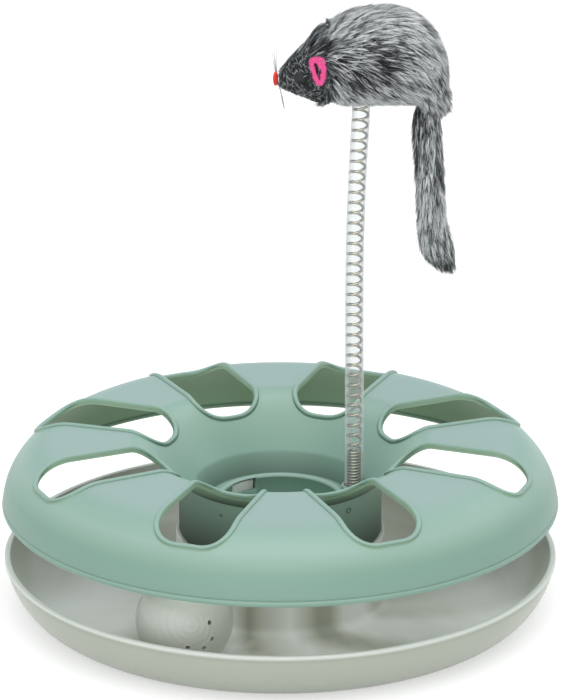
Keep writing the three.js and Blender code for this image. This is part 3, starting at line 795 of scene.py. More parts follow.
def makeBall():
    b = ball
    r = b["radius"]
    place = Matrix.Translation(Vector(b["centre"]) * mm)
    spin = Vector((0, 0, 1)).rotation_difference(Vector(b["pole"])).to_matrix().to_4x4()
    for node, title, side in (
        ("ball_front_half", "ballFrontHalf", 1),
        ("ball_back_half", "ballBackHalf", -1),
    ):
        outer = arc((0, 0), r, 90, 1.2, 30)
        inner = arc((0, 0), r - b["wall"], 0.6, 90, 20)
        profile = [(0, r), *outer[1:], (r - 0.25, 0.08), (r - b["wall"], 0.08), *inner[1:-1]]
        shell = spinProfile(title + "Shell", [*profile, (0, r - b["wall"])], 96)
        extras = []
        if side > 0:
            cutters = []
            for bearing in b["holes"]:
                turn = math.radians(bearing)
                out = Vector((math.cos(turn) * b["holeRing"], math.sin(turn) * b["holeRing"], 0))
                out.z = math.sqrt(r * r - out.length_squared)
                facing = out.to_track_quat("Z", "Y").to_euler()
                bpy.ops.mesh.primitive_cylinder_add(
                    vertices=24,
                    radius=b["holeRadius"] * mm,
                    depth=8 * mm,
                    location=out * mm,
                    rotation=facing,
                )
                cutters.append(named("soundHole"))
                bpy.ops.mesh.primitive_torus_add(
                    major_segments=32,
                    minor_segments=10,
                    major_radius=b["holeRim"][0] * mm,
                    minor_radius=b["holeRim"][1] * mm,
                    location=out * (1 - 0.25 / r) * mm,
                    rotation=facing,
                )
                extras.append(named("soundHoleRim"))
            cutOut(shell, joinAll(cutters))
        piece = joinAll([shell, *extras]) if extras else shell
        chooseOnly(piece)
        bpy.ops.object.transform_apply()
        spots = np.array([v.co for v in piece.data.vertices]) / mm
        if side < 0:
            piece.data.transform(Matrix.Rotation(math.pi, 4, "X"))
        away = np.hypot(spots[:, 0] - b["swirl"][0], spots[:, 1] - b["swirl"][1])
        layer = piece.data.attributes.new("fromPole", "FLOAT", "POINT")
        layer.data.foreach_set("value", away.astype(np.float32))
        smooth(piece, 40)
        piece.data.transform(place @ spin)
        piece.name = title
        finish(piece, ballPlastic, "ball", node)
    print("ball made")


makeBall()

# Spring, its clear sleeve, the plug under it and the cap over it

# Drawn spring steel: painted bright where it faces the eye, painted dark towards the edge of the
# wire
def steelMaterial():
    material, tree, shader = newMaterial("drawn_spring_steel", {"Metallic": 1.0, "Roughness": 0.2})
    facing = addNode(tree, "ShaderNodeLayerWeight", {"Blend": 0.35}).outputs["Facing"]
    # A painted highlight where the wire faces the eye, and painted shade towards its edges
    shade = ramp(tree, facing, [(0.05, "#dccfb6"), (0.3, "#777571"), (0.65, "#2c2f31")])
    tree.links.new(shade, shader.inputs["Base Color"])
    return material


# Clear soft vinyl: seen through, but a little milky, and greyer where it is seen edge on
def sleeveMaterial():
    material, tree, shader = newMaterial(
        "clear_vinyl_tube", {"Base Color": rgba("#f1f3f3"), "Roughness": 0.12, "IOR": 1.45}
    )
    glow = addNode(tree, "ShaderNodeBsdfTranslucent", {"Color": (0.96, 0.98, 0.98, 1)})
    milk = addNode(
        tree, "ShaderNodeMixShader", {"Fac": 0.5}, {1: shader.outputs[0], 2: glow.outputs[0]}
    ).outputs[0]
    through = addNode(tree, "ShaderNodeBsdfTransparent", {"Color": (0.97, 0.98, 0.98, 1)})
    facing = addNode(tree, "ShaderNodeLayerWeight", {"Blend": 0.5}).outputs["Facing"]
    haze = addNode(
        tree,
        "ShaderNodeMapRange",
        {"From Min": 0.1, "From Max": 0.95, "To Min": 0.1, "To Max": 0.55},
        {"Value": facing},
    )
    both = mixOf(tree, haze.outputs["Result"], through.outputs[0], milk)
    tree.links.new(both, tree.nodes["Material Output"].inputs["Surface"])
    return material


springSteel = steelMaterial()
clearVinyl = sleeveMaterial()


def coil(name, low, turns, pitch):
    deselect()
    bpy.ops.mesh.primitive_circle_add(
        vertices=8, radius=spring["wire"] * mm, rotation=(math.pi / 2, 0, 0)
    )
    piece = named(name)
    bpy.ops.object.transform_apply()
    piece.data.transform(Matrix.Translation((spring["coil"] * mm, 0, low * mm)))
    screw = piece.modifiers.new("wind", "SCREW")
    screw.axis = "Z"
    screw.angle = 2 * math.pi
    screw.screw_offset = pitch * mm
    screw.iterations = turns
    screw.steps = 24
    screw.render_steps = 24
    screw.use_smooth_shade = True
    applyAll(piece)
    return piece


def makeSpring():
    s = spring
    closedTop = s["low"] + s["closedTurns"] * s["closedPitch"]
    wires = (
        joinAll(
            [
                coil("closedCoils", s["low"], s["closedTurns"], s["closedPitch"]),
                coil("lowerCoils", closedTop, s["openTurns"][0], s["openPitch"]),
            ]
        ),
        coil("upperCoils", s["seam"], s["openTurns"][1], s["openPitch"]),
    )
    inner, outer = s["sleeve"]
    bowLow, bowHigh = s["bowSpan"]
    rings = [0.3 + (s["seam"] - 0.3) * i / 18 for i in range(19)]
    lower = [(inner, z) for z in rings[::-1]] + [(outer, z) for z in rings]
    top = s["length"] - 0.3
    rings = [s["seam"] + (top - s["seam"]) * i / 28 for i in range(29)]
    upper = [(outer, z) for z in rings] + [(inner, z) for z in rings[::-1]]
    tubes = (spinProfile("lowerSleeve", lower, 48), spinProfile("upperSleeve", upper, 48))
    for pieces, material, node, slot in (
        (wires, springSteel, "spring", "spring_steel"),
        (tubes, clearVinyl, "spring_sleeve", "clear_plastic"),
    ):
        for piece, bodies, span in zip(
            pieces, (("base", "spring"), ("spring", "mouse")), s["bends"]
        ):
            editAll(piece)
            bpy.ops.mesh.remove_doubles(threshold=1e-6)
            if node == "spring":
                bpy.ops.mesh.select_all(action="DESELECT")
                bpy.ops.mesh.select_non_manifold()
                bpy.ops.mesh.edge_face_add()
                endWithNormalsOut()
                for vertex in piece.data.vertices:
                    widen = min(max((vertex.co.z / mm - closedTop) / 8, 0), 1)
                    share = s["narrow"] + (1 - s["narrow"]) * widen
                    vertex.co.x *= share
                    vertex.co.y *= share
            else:
                bpy.ops.object.mode_set(mode="OBJECT")
            piece.data.transform(springFrame)
            for vertex in piece.data.vertices:
                share = min(max((vertex.co.z / mm - bowLow) / (bowHigh - bowLow), 0), 1)
                vertex.co.x -= s["bow"] * mm * math.sin(math.pi * share**1.6)
            smooth(piece, 60)
            piece.data.materials.append(material)
            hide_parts(node)
            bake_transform(piece)
    print("spring made")


makeSpring()
mouseFrame = springFrame @ Matrix.Translation((0, 0, spring["mouseRise"] * mm))


def makePlugs():
    plug = [
        (0, 42.7), (4.3, 42.7), (4.3, 44.2), (4, 44.2), (4, 48), (2.15, 48), (2.15, 58),
        (1.1, 59.1), (0, 59.1),
    ]
    cap = [
        (0, 12.3), (5.1, 12.3), (5.5, 11.9), (5.5, 2.8), (4.3, 2.8), (4.3, 10.8), (2.15, 10.8),
        (2.15, 3.1), (1.8, 2.8), (0, 2.8),
    ]
    grey = plainMaterial("moulded_polyethylene_grey", "#9aa09c", 0.5)  # dull, waxy, unseen inside
    foot = movedTo(spinProfile("springPlug", plug, 48), (spring["foot"][0], 0, 0))
    head = spinProfile("springCap", cap, 48)
    head.data.transform(mouseFrame)
    for piece, node, body in ((foot, "spring_foot", "base"), (head, "mouse_cap", "mouse")):
        smooth(piece, 30)
        finish(piece, grey, body, node)


makePlugs()

# Mouse: a stuffed body and head under long and short pile

mouse = {
    "body": [  # place along X, middle height, half height, half width, over the pile
        (-20.6, 16.8, 0, 0), (-19.4, 17.1, 10.5, 9.4), (-15.6, 18.3, 16.6, 14.8),
        (-8.6, 20.1, 19.2, 16.8), (0, 21.2, 20.1, 17.7), (12, 21.9, 20.4, 18),
        (20.4, 21, 19.4, 17.1), (27.2, 18.9, 17.3, 15.2), (32, 16, 14.4, 12.2), (34.4, 14, 11, 9),
        (36, 13, 6, 5), (36.6, 13, 0, 0),
    ],
    "head": [
        (-35.2, 11.3, 0, 0), (-34.6, 11.4, 3.3, 3), (-33.3, 11.8, 4.7, 4.1), (-31, 12.9, 6.6, 5.8),
        (-28, 14, 8.8, 8), (-24.6, 14.9, 10.9, 10.2), (-21, 16.1, 13.4, 12.5),
        (-17, 17.3, 16.1, 14.6), (-13, 18.6, 15.6, 13.6), (-10.4, 18.8, 0, 0),
    ],
    "tail": [  # drop below the seam, shift along X, half width, half depth
        (-4.2, -0.9, 0, 0), (-3.4, -0.9, 3.2, 2.8), (0, -1.2, 5.2, 4.2), (8.4, -1.6, 5.8, 4.2),
        (20, -0.7, 5.9, 4.2), (34.9, 0.6, 5.9, 4.2), (48, 1.4, 5.8, 4.2), (57, 2.5, 6.6, 3.9),
        (61, 3.6, 7.1, 3.5), (64.6, 4.4, 7.1, 2.8), (66.8, 4.7, 5.8, 1.8), (67.8, 4.8, 0, 0),
    ],
    "tailSeam": (29.1, 0.6),
}


# A skin through stations, drawn in below the pile: X runs along it, and the ends are closed
def stationSkin(name, stations, inset, segments=64, rings=56):
    rows = np.array(stations, float)
    turns = np.linspace(0, math.pi, 241)
    low, high = rows[0, 0], rows[-1, 0]
    places = low + (high - low) * (1 - np.cos(turns)) / 2
    kernel = np.hanning(19)
    kernel /= kernel.sum()

    def smoothed(values, mirror):
        long = np.concatenate([mirror * values[::-1], values, mirror * values[::-1]])
        return np.convolve(long, kernel, "same")[len(values) : 2 * len(values)]

    middles = smoothed(np.interp(places, rows[:, 0], rows[:, 1]), 1)
    heights = smoothed(np.interp(places, rows[:, 0], rows[:, 2]), -1)
    widths = smoothed(np.interp(places, rows[:, 0], rows[:, 3]), -1)
    heights *= 1 - inset / heights.max()
    widths *= 1 - inset / widths.max()
    bpy.ops.mesh.primitive_uv_sphere_add(
        segments=segments, ring_count=rings, radius=1, rotation=(0, math.pi / 2, 0)
    )
    piece = named(name)
    bpy.ops.object.transform_apply()
    ball = np.array([v.co for v in piece.data.vertices])
    turn = np.arccos(np.clip(-ball[:, 0], -1, 1))
    across = unit(ball[:, 1:])
    spots = np.column_stack(
        [
            low + inset + (high - low - 2 * inset) * (1 - np.cos(turn)) / 2,
            across[:, 0] * np.interp(turn, turns, widths),
            np.interp(turn, turns, middles) + across[:, 1] * np.interp(turn, turns, heights),
        ]
    )
    piece.data.vertices.foreach_set("co", (spots * mm).ravel())
    piece.data.update()
    for face in piece.data.polygons:
        face.use_smooth = True
    return piece


# Fur: guide hairs that march along the skin, each with its own tuft of hairs about it


# The faces in an order that follows from their places alone: Blender's own varies by the run
def orderedFaces(skin):
    order = np.lexsort(np.round([v.co / mm for v in skin.data.vertices], 3).T)
    rank = np.argsort(order).tolist()
    faces = [[rank[i] for i in face.vertices] for face in skin.data.polygons]
    faces = sorted(f[f.index(min(f)) :] + f[: f.index(min(f))] for f in faces)
    return [[int(order[i]) for i in f] for f in faces]


def skinPoints(skin, count, density):
    spots = np.array([v.co for v in skin.data.vertices]) / mm
    fans = [(f[0], *f[i : i + 2]) for f in orderedFaces(skin) for i in range(1, len(f) - 1)]
    corners = spots[np.array(fans)]
    a, b, c = corners[:, 0], corners[:, 1], corners[:, 2]
    normals = np.cross(b - a, c - a)
    areas = np.linalg.norm(normals, axis=1)
    share = areas * density(corners.mean(axis=1))
    pick = chance.choice(len(areas), count, p=share / share.sum())
    u, v = chance.random((2, count, 1))
    flip = u + v > 1
    u, v = np.where(flip, 1 - u, u), np.where(flip, 1 - v, v)
    roots = a[pick] + u * (b - a)[pick] + v * (c - a)[pick]
    return roots, normals[pick] / areas[pick][:, None]


def nearestOn(tree, points):
    found = [tree.find_nearest(Vector(p * mm)) for p in points]
    return np.array([f[0] for f in found]) / mm, np.array([f[1] for f in found])


# Paths of the guide hairs, as (hairs, joints, 3), and the skin's normals along them
def guidePaths(skin, roots, normals, style):
    tree = BVHTree.FromPolygons([v.co for v in skin.data.vertices], orderedFaces(skin))
    count = len(roots)
    joints = style["joints"]
    length = chance.uniform(*style["length"], (count, 1))
    rise = chance.uniform(*style["lift"], (count, 1))
    curl = chance.normal(0, style["curl"], (count, 1))
    stray = chance.normal(0, style["stray"], (count, 3))
    point, normal = roots, normals
    heading = None
    paths, faces = [roots], [normals]
    for joint in range(1, joints):
        share = joint / (joints - 1)
        wish = unit(style["flow"](point) + stray)
        if heading is not None:
            wish = unit(style["stiff"] * heading + (1 - style["stiff"]) * wish)
            wish = unit(wish + curl * np.cross(normal, heading))
        heading = unit(wish - normal * (wish * normal).sum(axis=1)[:, None] * style["hug"])
        point = point + heading * length / (joints - 1)
        place, normal = nearestOn(tree, point)
        height = ((point - place) * normal).sum(axis=1)[:, None]
        goal = rise * (1 - (1 - share) ** 2) + style["flick"] * share**3
        push = np.where(height < goal, goal - height, style["pull"] * (goal - height))
        point = point + normal * np.clip(push, -2, 2)
        paths.append(point)
        faces.append(normal)
    return np.stack(paths, axis=1), np.stack(faces, axis=1)


# Flat tapering blades along the paths, shaded as the skin is and coloured hair by hair
def bladeMesh(name, paths, faces, widths, colours):
    count, joints, _ = paths.shape
    along = np.gradient(paths, axis=1)
    side = unit(np.cross(along, faces))
    taper = np.sqrt(1 - np.linspace(0, 1, joints) ** 2 * 0.9)[None, :, None]
    half = side * taper * widths[:, None, None] / 2
    left, right = paths - half, paths + half
    pairs = np.stack([left[:, :-1], right[:, :-1]], axis=2).reshape(count, -1, 3)
    spots = np.concatenate([pairs, paths[:, -1:]], axis=1)
    each = spots.shape[1]
    quads = np.array([[2 * i, 2 * i + 1, 2 * i + 3, 2 * i + 2] for i in range(joints - 2)])
    tip = np.array([2 * joints - 4, 2 * joints - 3, 2 * joints - 2])
    base = (np.arange(count) * each)[:, None]
    polygons = [(base + q).tolist() for q in quads]
    polygons = [face for group in polygons for face in group] + (base + tip).tolist()
    mesh = bpy.data.meshes.new(name)
    mesh.from_pydata((spots.reshape(-1, 3) * mm).tolist(), [], polygons)
    lean = faces + chance.normal(0, 0.22, (count, 1, 3))
    lean[..., 2] += 0.6 * np.clip(-faces[..., 2], 0, 1)  # loose pile underneath catches side light
    lean = unit(lean)
    shown = np.concatenate([np.repeat(lean[:, :-1], 2, axis=1), lean[:, -1:]], axis=1)
    mesh.shade_smooth()
    mesh.normals_split_custom_set_from_vertices(shown.reshape(-1, 3).tolist())
    tint = np.concatenate([np.repeat(colours[:, :-1], 2, axis=1), colours[:, -1:]], axis=1)
    tint = np.concatenate([tint, np.ones((*tint.shape[:2], 1))], axis=2)
    layer = mesh.color_attributes.new("hairColour", "FLOAT_COLOR", "POINT")
    layer.data.foreach_set("color", tint.astype(np.float32).ravel())
    piece = bpy.data.objects.new(name, mesh)
    bpy.context.collection.objects.link(piece)
    return piece


# A scale of colours from dark to pale, read off at levels from 0 to 1
def scaleOf(*shades):
    steps = np.array([linear(c) for c in shades])
    spots = np.linspace(0, 1, len(steps))

    def read(level):
        level = np.clip(level, 0, 1)
        return np.stack([np.interp(level, spots, steps[:, k]) for k in range(3)], axis=-1)

    return read


greys = scaleOf("#0e1011", "#2f3335", "#6d7375", "#b2b8b9", "#eceeee")
pinks = scaleOf("#e8408e", "#ff78b4", "#ffb4d8")


def growFur(name, skin, style):
    roots, normals = skinPoints(skin, style["guides"], style["density"])
    paths, faces = guidePaths(skin, roots, normals, style)
    tuft = style["tuft"]
    count = len(roots) * tuft
    shift = chance.normal(0, style["spread"], (count, 1, 3))
    base = np.repeat(faces[:, :1], tuft, axis=0)
    shift -= base * (shift * base).sum(axis=2, keepdims=True)
    joints = style["joints"]
    share = np.linspace(0, 1, joints)[None, :, None]
    loose = chance.normal(0, style["loose"], (count, 1, 3)) * share**1.5
    short = chance.uniform(0.7, 1, (count, 1, 1))
    whole = np.repeat(paths, tuft, axis=0)
    whole = whole[:, :1] + (whole - whole[:, :1]) * short
    hairs = whole + shift * (1 - style["gather"] * share) + loose
    level = np.repeat(style["shade"](roots), tuft) + chance.normal(0, style["mottle"], count)
    # Painted shade: each hair is darker towards its root, for the shade deep in the pile
    rootShading = style["rootShade"] + (1 - style["rootShade"]) * np.minimum(share[..., 0] * 1.6, 1)
    colours = style["tint"](level[:, None] * rootShading)
    widths = chance.uniform(0.75, 1.25, count) * style["width"]
    return bladeMesh(name, hairs, np.repeat(faces, tuft, axis=0), widths, colours)


# Smooth random streaks: long along the hair, narrow across it
def streaks(along, across, seed, size=(9, 1.6)):
    table = np.random.default_rng(seed).random((64, 256))
    u, v = along / size[0] + 31, across / size[1] + 127
    i, j = np.floor(u).astype(int), np.floor(v).astype(int)
    s, t = u - i, v - j
    s, t = s * s * (3 - 2 * s), t * t * (3 - 2 * t)

    def at(p, q):
        return table[(i + p) % 64, (j + q) % 256]

    top = at(0, 0) * (1 - s) + at(1, 0) * s
    low = at(0, 1) * (1 - s) + at(1, 1) * s
    return top * (1 - t) + low * t


def rampUp(values, low, high):
    s = np.clip((values - low) / (high - low), 0, 1)
    return s * s * (3 - 2 * s)


# How the pile is brushed on the body: degrees above the backward line, by height and place
brushing = {
    "places": (-26, -15, -7, 3, 13, 23, 33),
    "heights": (1, 9, 17, 24, 32, 40),
    "turns": np.array(
        [
            (-20, -60, -45, -38, -33, -30, -58), (-15, -62, -48, -40, -36, -35, -62),
            (10, -40, -42, -28, -25, -34, -66), (40, 5, -12, -10, -15, -30, -66),
            (48, 36, 16, 3, -9, -32, -62), (48, 38, 28, 17, -6, -35, -58),
        ]
    ),
}


def bodyFlow(points):
    rows = [np.interp(points[:, 0], brushing["places"], row) for row in brushing["turns"]]
    heights = np.interp(points[:, 2], brushing["heights"], range(len(rows)))
    low = np.minimum(heights.astype(int), len(rows) - 2)
    rows = np.array(rows)
    each = np.arange(len(points))
    turn = rows[low, each] + (rows[low + 1, each] - rows[low, each]) * (heights - low)
    turn = np.radians(turn)
    return np.column_stack([np.cos(turn), np.zeros(len(points)), np.sin(turn)])


# Streaked greys: paler on the crown, the belly (partly painted light) and the rump, darker at the
# neck and the tail
def bodyShade(roots):
    x, y, z = roots.T
    side = np.where(y > 0, 40, 0)
    across = z - 0.35 * x
    streak = streaks(x + 0.4 * z + side, across + side, 3, (10, 2))
    broad = streaks(x + 0.4 * z + side, across + side, 5, (17, 6))
    level = 0.7 + 0.8 * (streak - 0.5) + 0.6 * (broad - 0.5)
    # The belly's large lift is partly painted light, against the shade under the body
    level += 0.2 * rampUp(z, 30, 37) * rampUp(x, -12, 2) + 0.8 * rampUp(-z, -14, -4)
    level += 0.16 * rampUp(x, 20, 28) * rampUp(-z, -16, -10) + 0.18 * rampUp(x, 16, 26)
    level -= 0.12 * rampUp(z, 12, 18) * rampUp(-z, -31, -26)
    neck = (rampUp(-x, -18, -2) - rampUp(-x, 9, 15)) * (rampUp(z, 16, 21) - rampUp(z, 29, 35))
    level -= 0.22 * neck
    level = np.minimum(level, 1.2)
    tuft = np.hypot(x - 26.5, z - 18.5)
    level -= 0.3 * (1 - rampUp(tuft, 2, 6))
    return level + chance.normal(0, 0.28, len(roots))


# Where the short pile of the head meets the long pile, along X
def furEdge(points):
    return -14.5 - 12 * rampUp(points[:, 2], 18, 28)


# Keeps the curls off the eyes
def clearOfEye(points):
    return np.hypot(points[:, 0] + 25, (points[:, 2] - 14.6) * 1.2) > 3.1


# Acrylic pile: each hair has its own grey, with a soft gleam along it
def furMaterial(name, rough, gleam):
    material, tree, shader = newMaterial(name, {"Roughness": rough, "Specular IOR Level": gleam})
    colour = addNode(tree, "ShaderNodeAttribute", {"attribute_name": "hairColour"})
    tree.links.new(colour.outputs["Color"], shader.inputs["Base Color"])
    return material


pile = furMaterial("acrylic_pile", 0.55, 0.35)
# The knitted backing is real, but its near-black colour is partly painted shade for the gaps
# between the hairs
shadedBacking = plainMaterial("knitted_backing_and_shade", "#1d2022", 0.95)  # dark gaps between the hairs


# Moves a piece of the mouse to its place on the spring's top
def finishSoft(piece, material, body, node=None):
    piece.data.transform(mouseFrame)
    finish(piece, material, body, node)


bodyFur = {
    "guides": 2200,
    "tuft": 11,
    "joints": 5,
    "length": (8, 13),
    "lift": (0.7, 2.4),
    "flick": 0.5,
    "curl": 0.05,
    "stray": 0.16,
    "stiff": 0.45,
    "hug": 0.9,
    "pull": 0.45,
    "spread": 0.5,
    "gather": 0.5,
    "loose": 0.4,
    "width": 0.22,
    "mottle": 0.24,
    "rootShade": 0.4,
    "tint": greys,
    "flow": bodyFlow,
    "shade": lambda p: bodyShade(p) - 0.26,
    "density": lambda p: (p[:, 0] > furEdge(p)),
}
curlFur = {
    **bodyFur,
    "guides": 1500,
    "tuft": 7,
    "length": (2, 3.4),
    "lift": (0.5, 1.1),
    "flick": 0.1,
    "curl": 0.8,
    "stray": 0.7,
    "stiff": 0.5,
    "gather": 0.3,
    "loose": 0.25,
    "width": 0.26,
    "mottle": 0.05,
    "rootShade": 0.5,
    "flow": lambda p: np.tile((0.8, 0.0, 0.1), (len(p), 1)),
    "shade": lambda p: 0.19 + chance.normal(0, 0.07, len(p)),
    "density": lambda p: (p[:, 0] < furEdge(p) + 1.5) * clearOfEye(p),
}
curlLights = {
    **curlFur,
    "guides": 1250,
    "tuft": 1,
    "joints": 7,
    "length": (2.5, 5),
    "lift": (1, 1.6),
    "curl": 0.6,
    "spread": 0.1,
    "width": 0.17,
    "shade": lambda p: 0.8 + chance.normal(0, 0.13, len(p)),
    "density": lambda p: (p[:, 0] < furEdge(p) + 2) * clearOfEye(p),
}


def tailFlow(points):
    bend = rampUp(-points[:, 2], 48, 72)
    return np.column_stack([0.05 + 0.3 * bend, np.zeros(len(points)), -np.ones(len(points))])


# Streaked greys, paler towards the tail's end and dark in front of its root
def tailShade(roots):
    x, y, z = roots.T
    side = np.where(y > 0, 30, 0)
    streak = streaks(-z + side, x + side, 8, (11, 1.1))
    broad = streaks(-z + side, x + side, 9, (20, 3.5))
    level = 0.48 + 0.26 * rampUp(-z, 4, 50) + 0.7 * (streak - 0.5) + 0.4 * (broad - 0.5)
    level -= 0.14 * rampUp(z, -26, -8) * rampUp(-x, -31, -26)
    return level + chance.normal(0, 0.19, len(roots))


tailFur = {
    **bodyFur,
    "guides": 1500,
    "tuft": 10,
    "length": (7, 12),
    "lift": (0.4, 1.3),
    "stray": 0.09,
    "hug": 0.3,
    "pull": 0.03,
    "spread": 0.45,
    "loose": 0.5,
    "flow": tailFlow,
    "shade": lambda p: tailShade(p) - 0.14,
    "density": lambda p: 1 + 1.4 * rampUp(-p[:, 2], 48, 60),
}
# Fine single hairs over the pile, much paler or darker than what lies under them
guardHairs = {
    **bodyFur,
    "guides": 4600,
    "tuft": 5,
    "lift": (1, 3),
    "flick": 1.3,
    "hug": 0.7,
    "spread": 0.28,
    "gather": 0.6,
    "loose": 0.3,
    "width": 0.2,
    "mottle": 0.3,
    "shade": lambda p: bodyShade(p) + 0.2 + chance.normal(0, 0.34, len(p)),
}
crownHairs = {
    **guardHairs,
    "guides": 900,
    "length": (6, 10),
    "lift": (0.5, 1.7),
    "flick": 0.3,
    "shade": lambda p: bodyShade(p) + 0.14 + chance.normal(0, 0.34, len(p)),
    "density": lambda p: rampUp(p[:, 2], 19, 26) * (p[:, 0] > -29),
}
tailHairs = {
    **tailFur,
    "guides": 900,
    "tuft": 5,
    "lift": (0.7, 1.9),
    "flick": 0.9,
    "spread": 0.28,
    "gather": 0.5,
    "loose": 0.3,
    "width": 0.19,
    "mottle": 0.3,
    "shade": lambda p: tailShade(p) + 0.16 + chance.normal(0, 0.36, len(p)),
}
# Long hairs of the rump hang over the top of the tail
rumpFur = {
    **bodyFur,
    "guides": 620,
    "length": (8, 12),
    "lift": (1.4, 3.4),
    "flick": 1.6,
    "hug": 0.3,
    "pull": 0.04,
    "flow": lambda p: np.tile((0.5, 0.0, -0.87), (len(p), 1)),
    "density": lambda p: rampUp(p[:, 0], 21, 27) * rampUp(-p[:, 2], -15, -8),
    "shade": lambda p: 0.4 * bodyShade(p) + 0.32 + chance.normal(0, 0.3, len(p)),
}
# A thin fringe under the belly
bellyFur = {
    **bodyFur,
    "guides": 420,
    "length": (4, 8),
    "lift": (1, 2.4),
    "flick": 1.5,
    "hug": 0.6,
    "pull": 0.1,
    "flow": lambda p: np.tile((0.75, 0.0, -0.66), (len(p), 1)),
    "density": lambda p: (p[:, 0] > -12) * (p[:, 0] < 24) * rampUp(-p[:, 2], -9, -4),
    "shade": lambda p: bodyShade(p) + 0.12,
}
# Hairs of the throat run back over the place where head and body meet
throatFur = {
    **bellyFur,
    "guides": 520,
    "tuft": 7,
    "length": (6, 10),
    "lift": (0.7, 1.7),
    "flick": 0.5,
    "hug": 0.9,
    "spread": 0.3,
    "flow": lambda p: np.tile((0.92, 0.0, -0.38), (len(p), 1)),
    "density": lambda p: (p[:, 0] > -18) * rampUp(-p[:, 2], -20, -12),
    "shade": lambda p: 0.5 + chance.normal(0, 0.32, len(p)),
}


def makeMouseFur():
    body = stationSkin("mouseBodySkin", mouse["body"], 2)
    head = stationSkin("mouseHeadSkin", mouse["head"], 0.9)
    tail = stationSkin("mouseTailSkin", mouse["tail"], 1, 32, 64)
    tail.data.transform(
        Matrix.Translation((mouse["tailSeam"][0] * mm, 0, mouse["tailSeam"][1] * mm))
        @ Matrix.Rotation(math.pi / 2, 4, "Y")
    )
    for skin in (body, head):
        for vertex in skin.data.vertices:
            high = min(max((vertex.co.z / mm - 22) / 16, 0), 1)
            back = min(max((vertex.co.x / mm + 20) / 16, 0), 1)
            vertex.co.z += 1.3 * mm * high * back
    hairs = (
        ("bodyPile", body, bodyFur, "body_fur", "mouse"),
        ("bodyPileOver", body, bodyFur, "body_fur", "mouse"),
        ("guardHairs", body, guardHairs, "body_fur", "mouse"),
        ("crownHairs", head, crownHairs, "body_fur", "mouse"),
        ("tailHairs", tail, tailHairs, "body_fur", "tail"),
        ("rumpPile", body, rumpFur, "body_fur", "mouse"),
        ("bellyPile", body, bellyFur, "body_fur", "mouse"),
        ("throatPile", head, throatFur, "body_fur", "mouse"),
        ("shoulderPile", head, {**bodyFur, "guides": 1500}, "body_fur", "mouse"),
        ("headCurls", head, curlFur, "head_fur", "mouse"),
        ("headCurlLights", head, curlLights, "head_fur", "mouse"),
        ("tailPile", tail, tailFur, "body_fur", "tail"),
    )
    for name, skin, style, slot, follow in hairs:
        finishSoft(growFur(name, skin, style), pile, follow)
        print(name, "grown")
    for skin, slot, node, follow in (
        (body, "body_fur", "mouse_body", "mouse"),
        (head, "head_fur", "mouse_head", "mouse"),
        (tail, "body_fur", "mouse_tail", "tail"),
    ):
        finishSoft(skin, shadedBacking, follow, node)
    print("fur made")


makeMouseFur()

# Ears, eyes, nose and whiskers

ear = {
    "middle": (-18.7, 19),
    "out": (9.3, 15.3),  # from the middle plane to the loop's outer edge
    "rise": 2.2,  # how much higher the outer edge lies
    "outline": [
        (-2.9, 5.7), (-0.4, 6.3), (2.7, 5.6), (3.2, 2.8), (3.3, -0.5), (2.9, -3.8), (2.3, -5.5),
        (1.1, -6.1), (-0.2, -5.4), (-1.2, -3.4), (-1.9, -0.5), (-2.9, 2.4), (-3.4, 4.4),
    ],
    "hole": [
        (-1.6, 3.7), (-1.1, 4), (-0.3, 3.7), (0.3, 2.8), (0.8, 1.1), (1.1, -0.9), (1.4, -2.6),
        (1.4, -3.7), (1.1, -4), (0.6, -3.2), (0.1, -1.8), (-0.5, 0), (-1, 1.6), (-1.5, 2.8),
    ],
    "centre": (0.8, 0.4),  # a place inside both outlines
}
eye = {"place": (-25.2, 8.8, 14.4), "size": (3.3, 1.8, 2.8)}
nose = {"place": (-36, 0, 11.3), "size": (1.15, 2.7, 3.2)}
whisker = {
    "knot": (-34.7, 0, 8.7),
    "tips": [
        (-37.6, -2.2, 24.6), (-36.9, -0.6, 25), (-36.4, 1.2, 24.4), (-35.7, 2.6, 23.4),
        (-31.9, -2, -2.2), (-32.5, 0.4, -1.6), (-33.1, 2.2, -0.4),
    ],
    "thick": 0.2,
}
strayHair = {
    "path": [
        (-0.9, -18.4, 34), (-0.8, -20.4, 29.4), (-1.9, -21.8, 25.4), (-4.3, -22.4, 22.4),
        (-7.8, -22.2, 20.6),
    ],
    "thick": 0.17,
}


# Felt: short matted fibres, with no gloss at all
def feltMaterial(name, colour, shade):
    matt = {"Roughness": 0.95, "Specular IOR Level": 0.1, "Sheen Weight": 0.3}
    material, tree, shader = newMaterial(name, matt)
    place = addNode(tree, "ShaderNodeTexCoord").outputs["Object"]
    mat = addNode(
        tree, "ShaderNodeTexNoise", {"Scale": 1 / (0.35 * mm), "Detail": 4.0}, {"Vector": place}
    )
    tint = ramp(tree, mat.outputs["Fac"], [(0.35, shade), (0.6, colour)])
    tree.links.new(tint, shader.inputs["Base Color"])
    addBump(tree, shader, mat.outputs["Fac"], 0.6, 0.15)
    return material


pinkFelt = feltMaterial("wool_felt_pink", "#ff5aa8", "#f5459a")
redFelt = feltMaterial("wool_felt_red", "#f23a30", "#d82a24")
beadBlack = plainMaterial("polished_plastic_black", "#040404", 0.5)  # a small dark gleam
nylon = plainMaterial("clear_nylon_line", "#c3c8ca", 0.25, {"Transmission Weight": 0.35})  # glassy
nickel = plainMaterial("nickel_plated_steel", "#d2d0c8", 0.22, {"Metallic": 1.0})  # bright, cool


# Places on an outline at even angles about a point inside it
def radial(points, centre, turns):
    x, y = np.array(points).T - np.array(centre)[:, None]
    bearing, reach = np.arctan2(y, x), np.hypot(x, y)
    far = np.interp(turns, bearing, reach, period=2 * math.pi)
    return np.column_stack([centre[0] + far * np.cos(turns), centre[1] + far * np.sin(turns)])


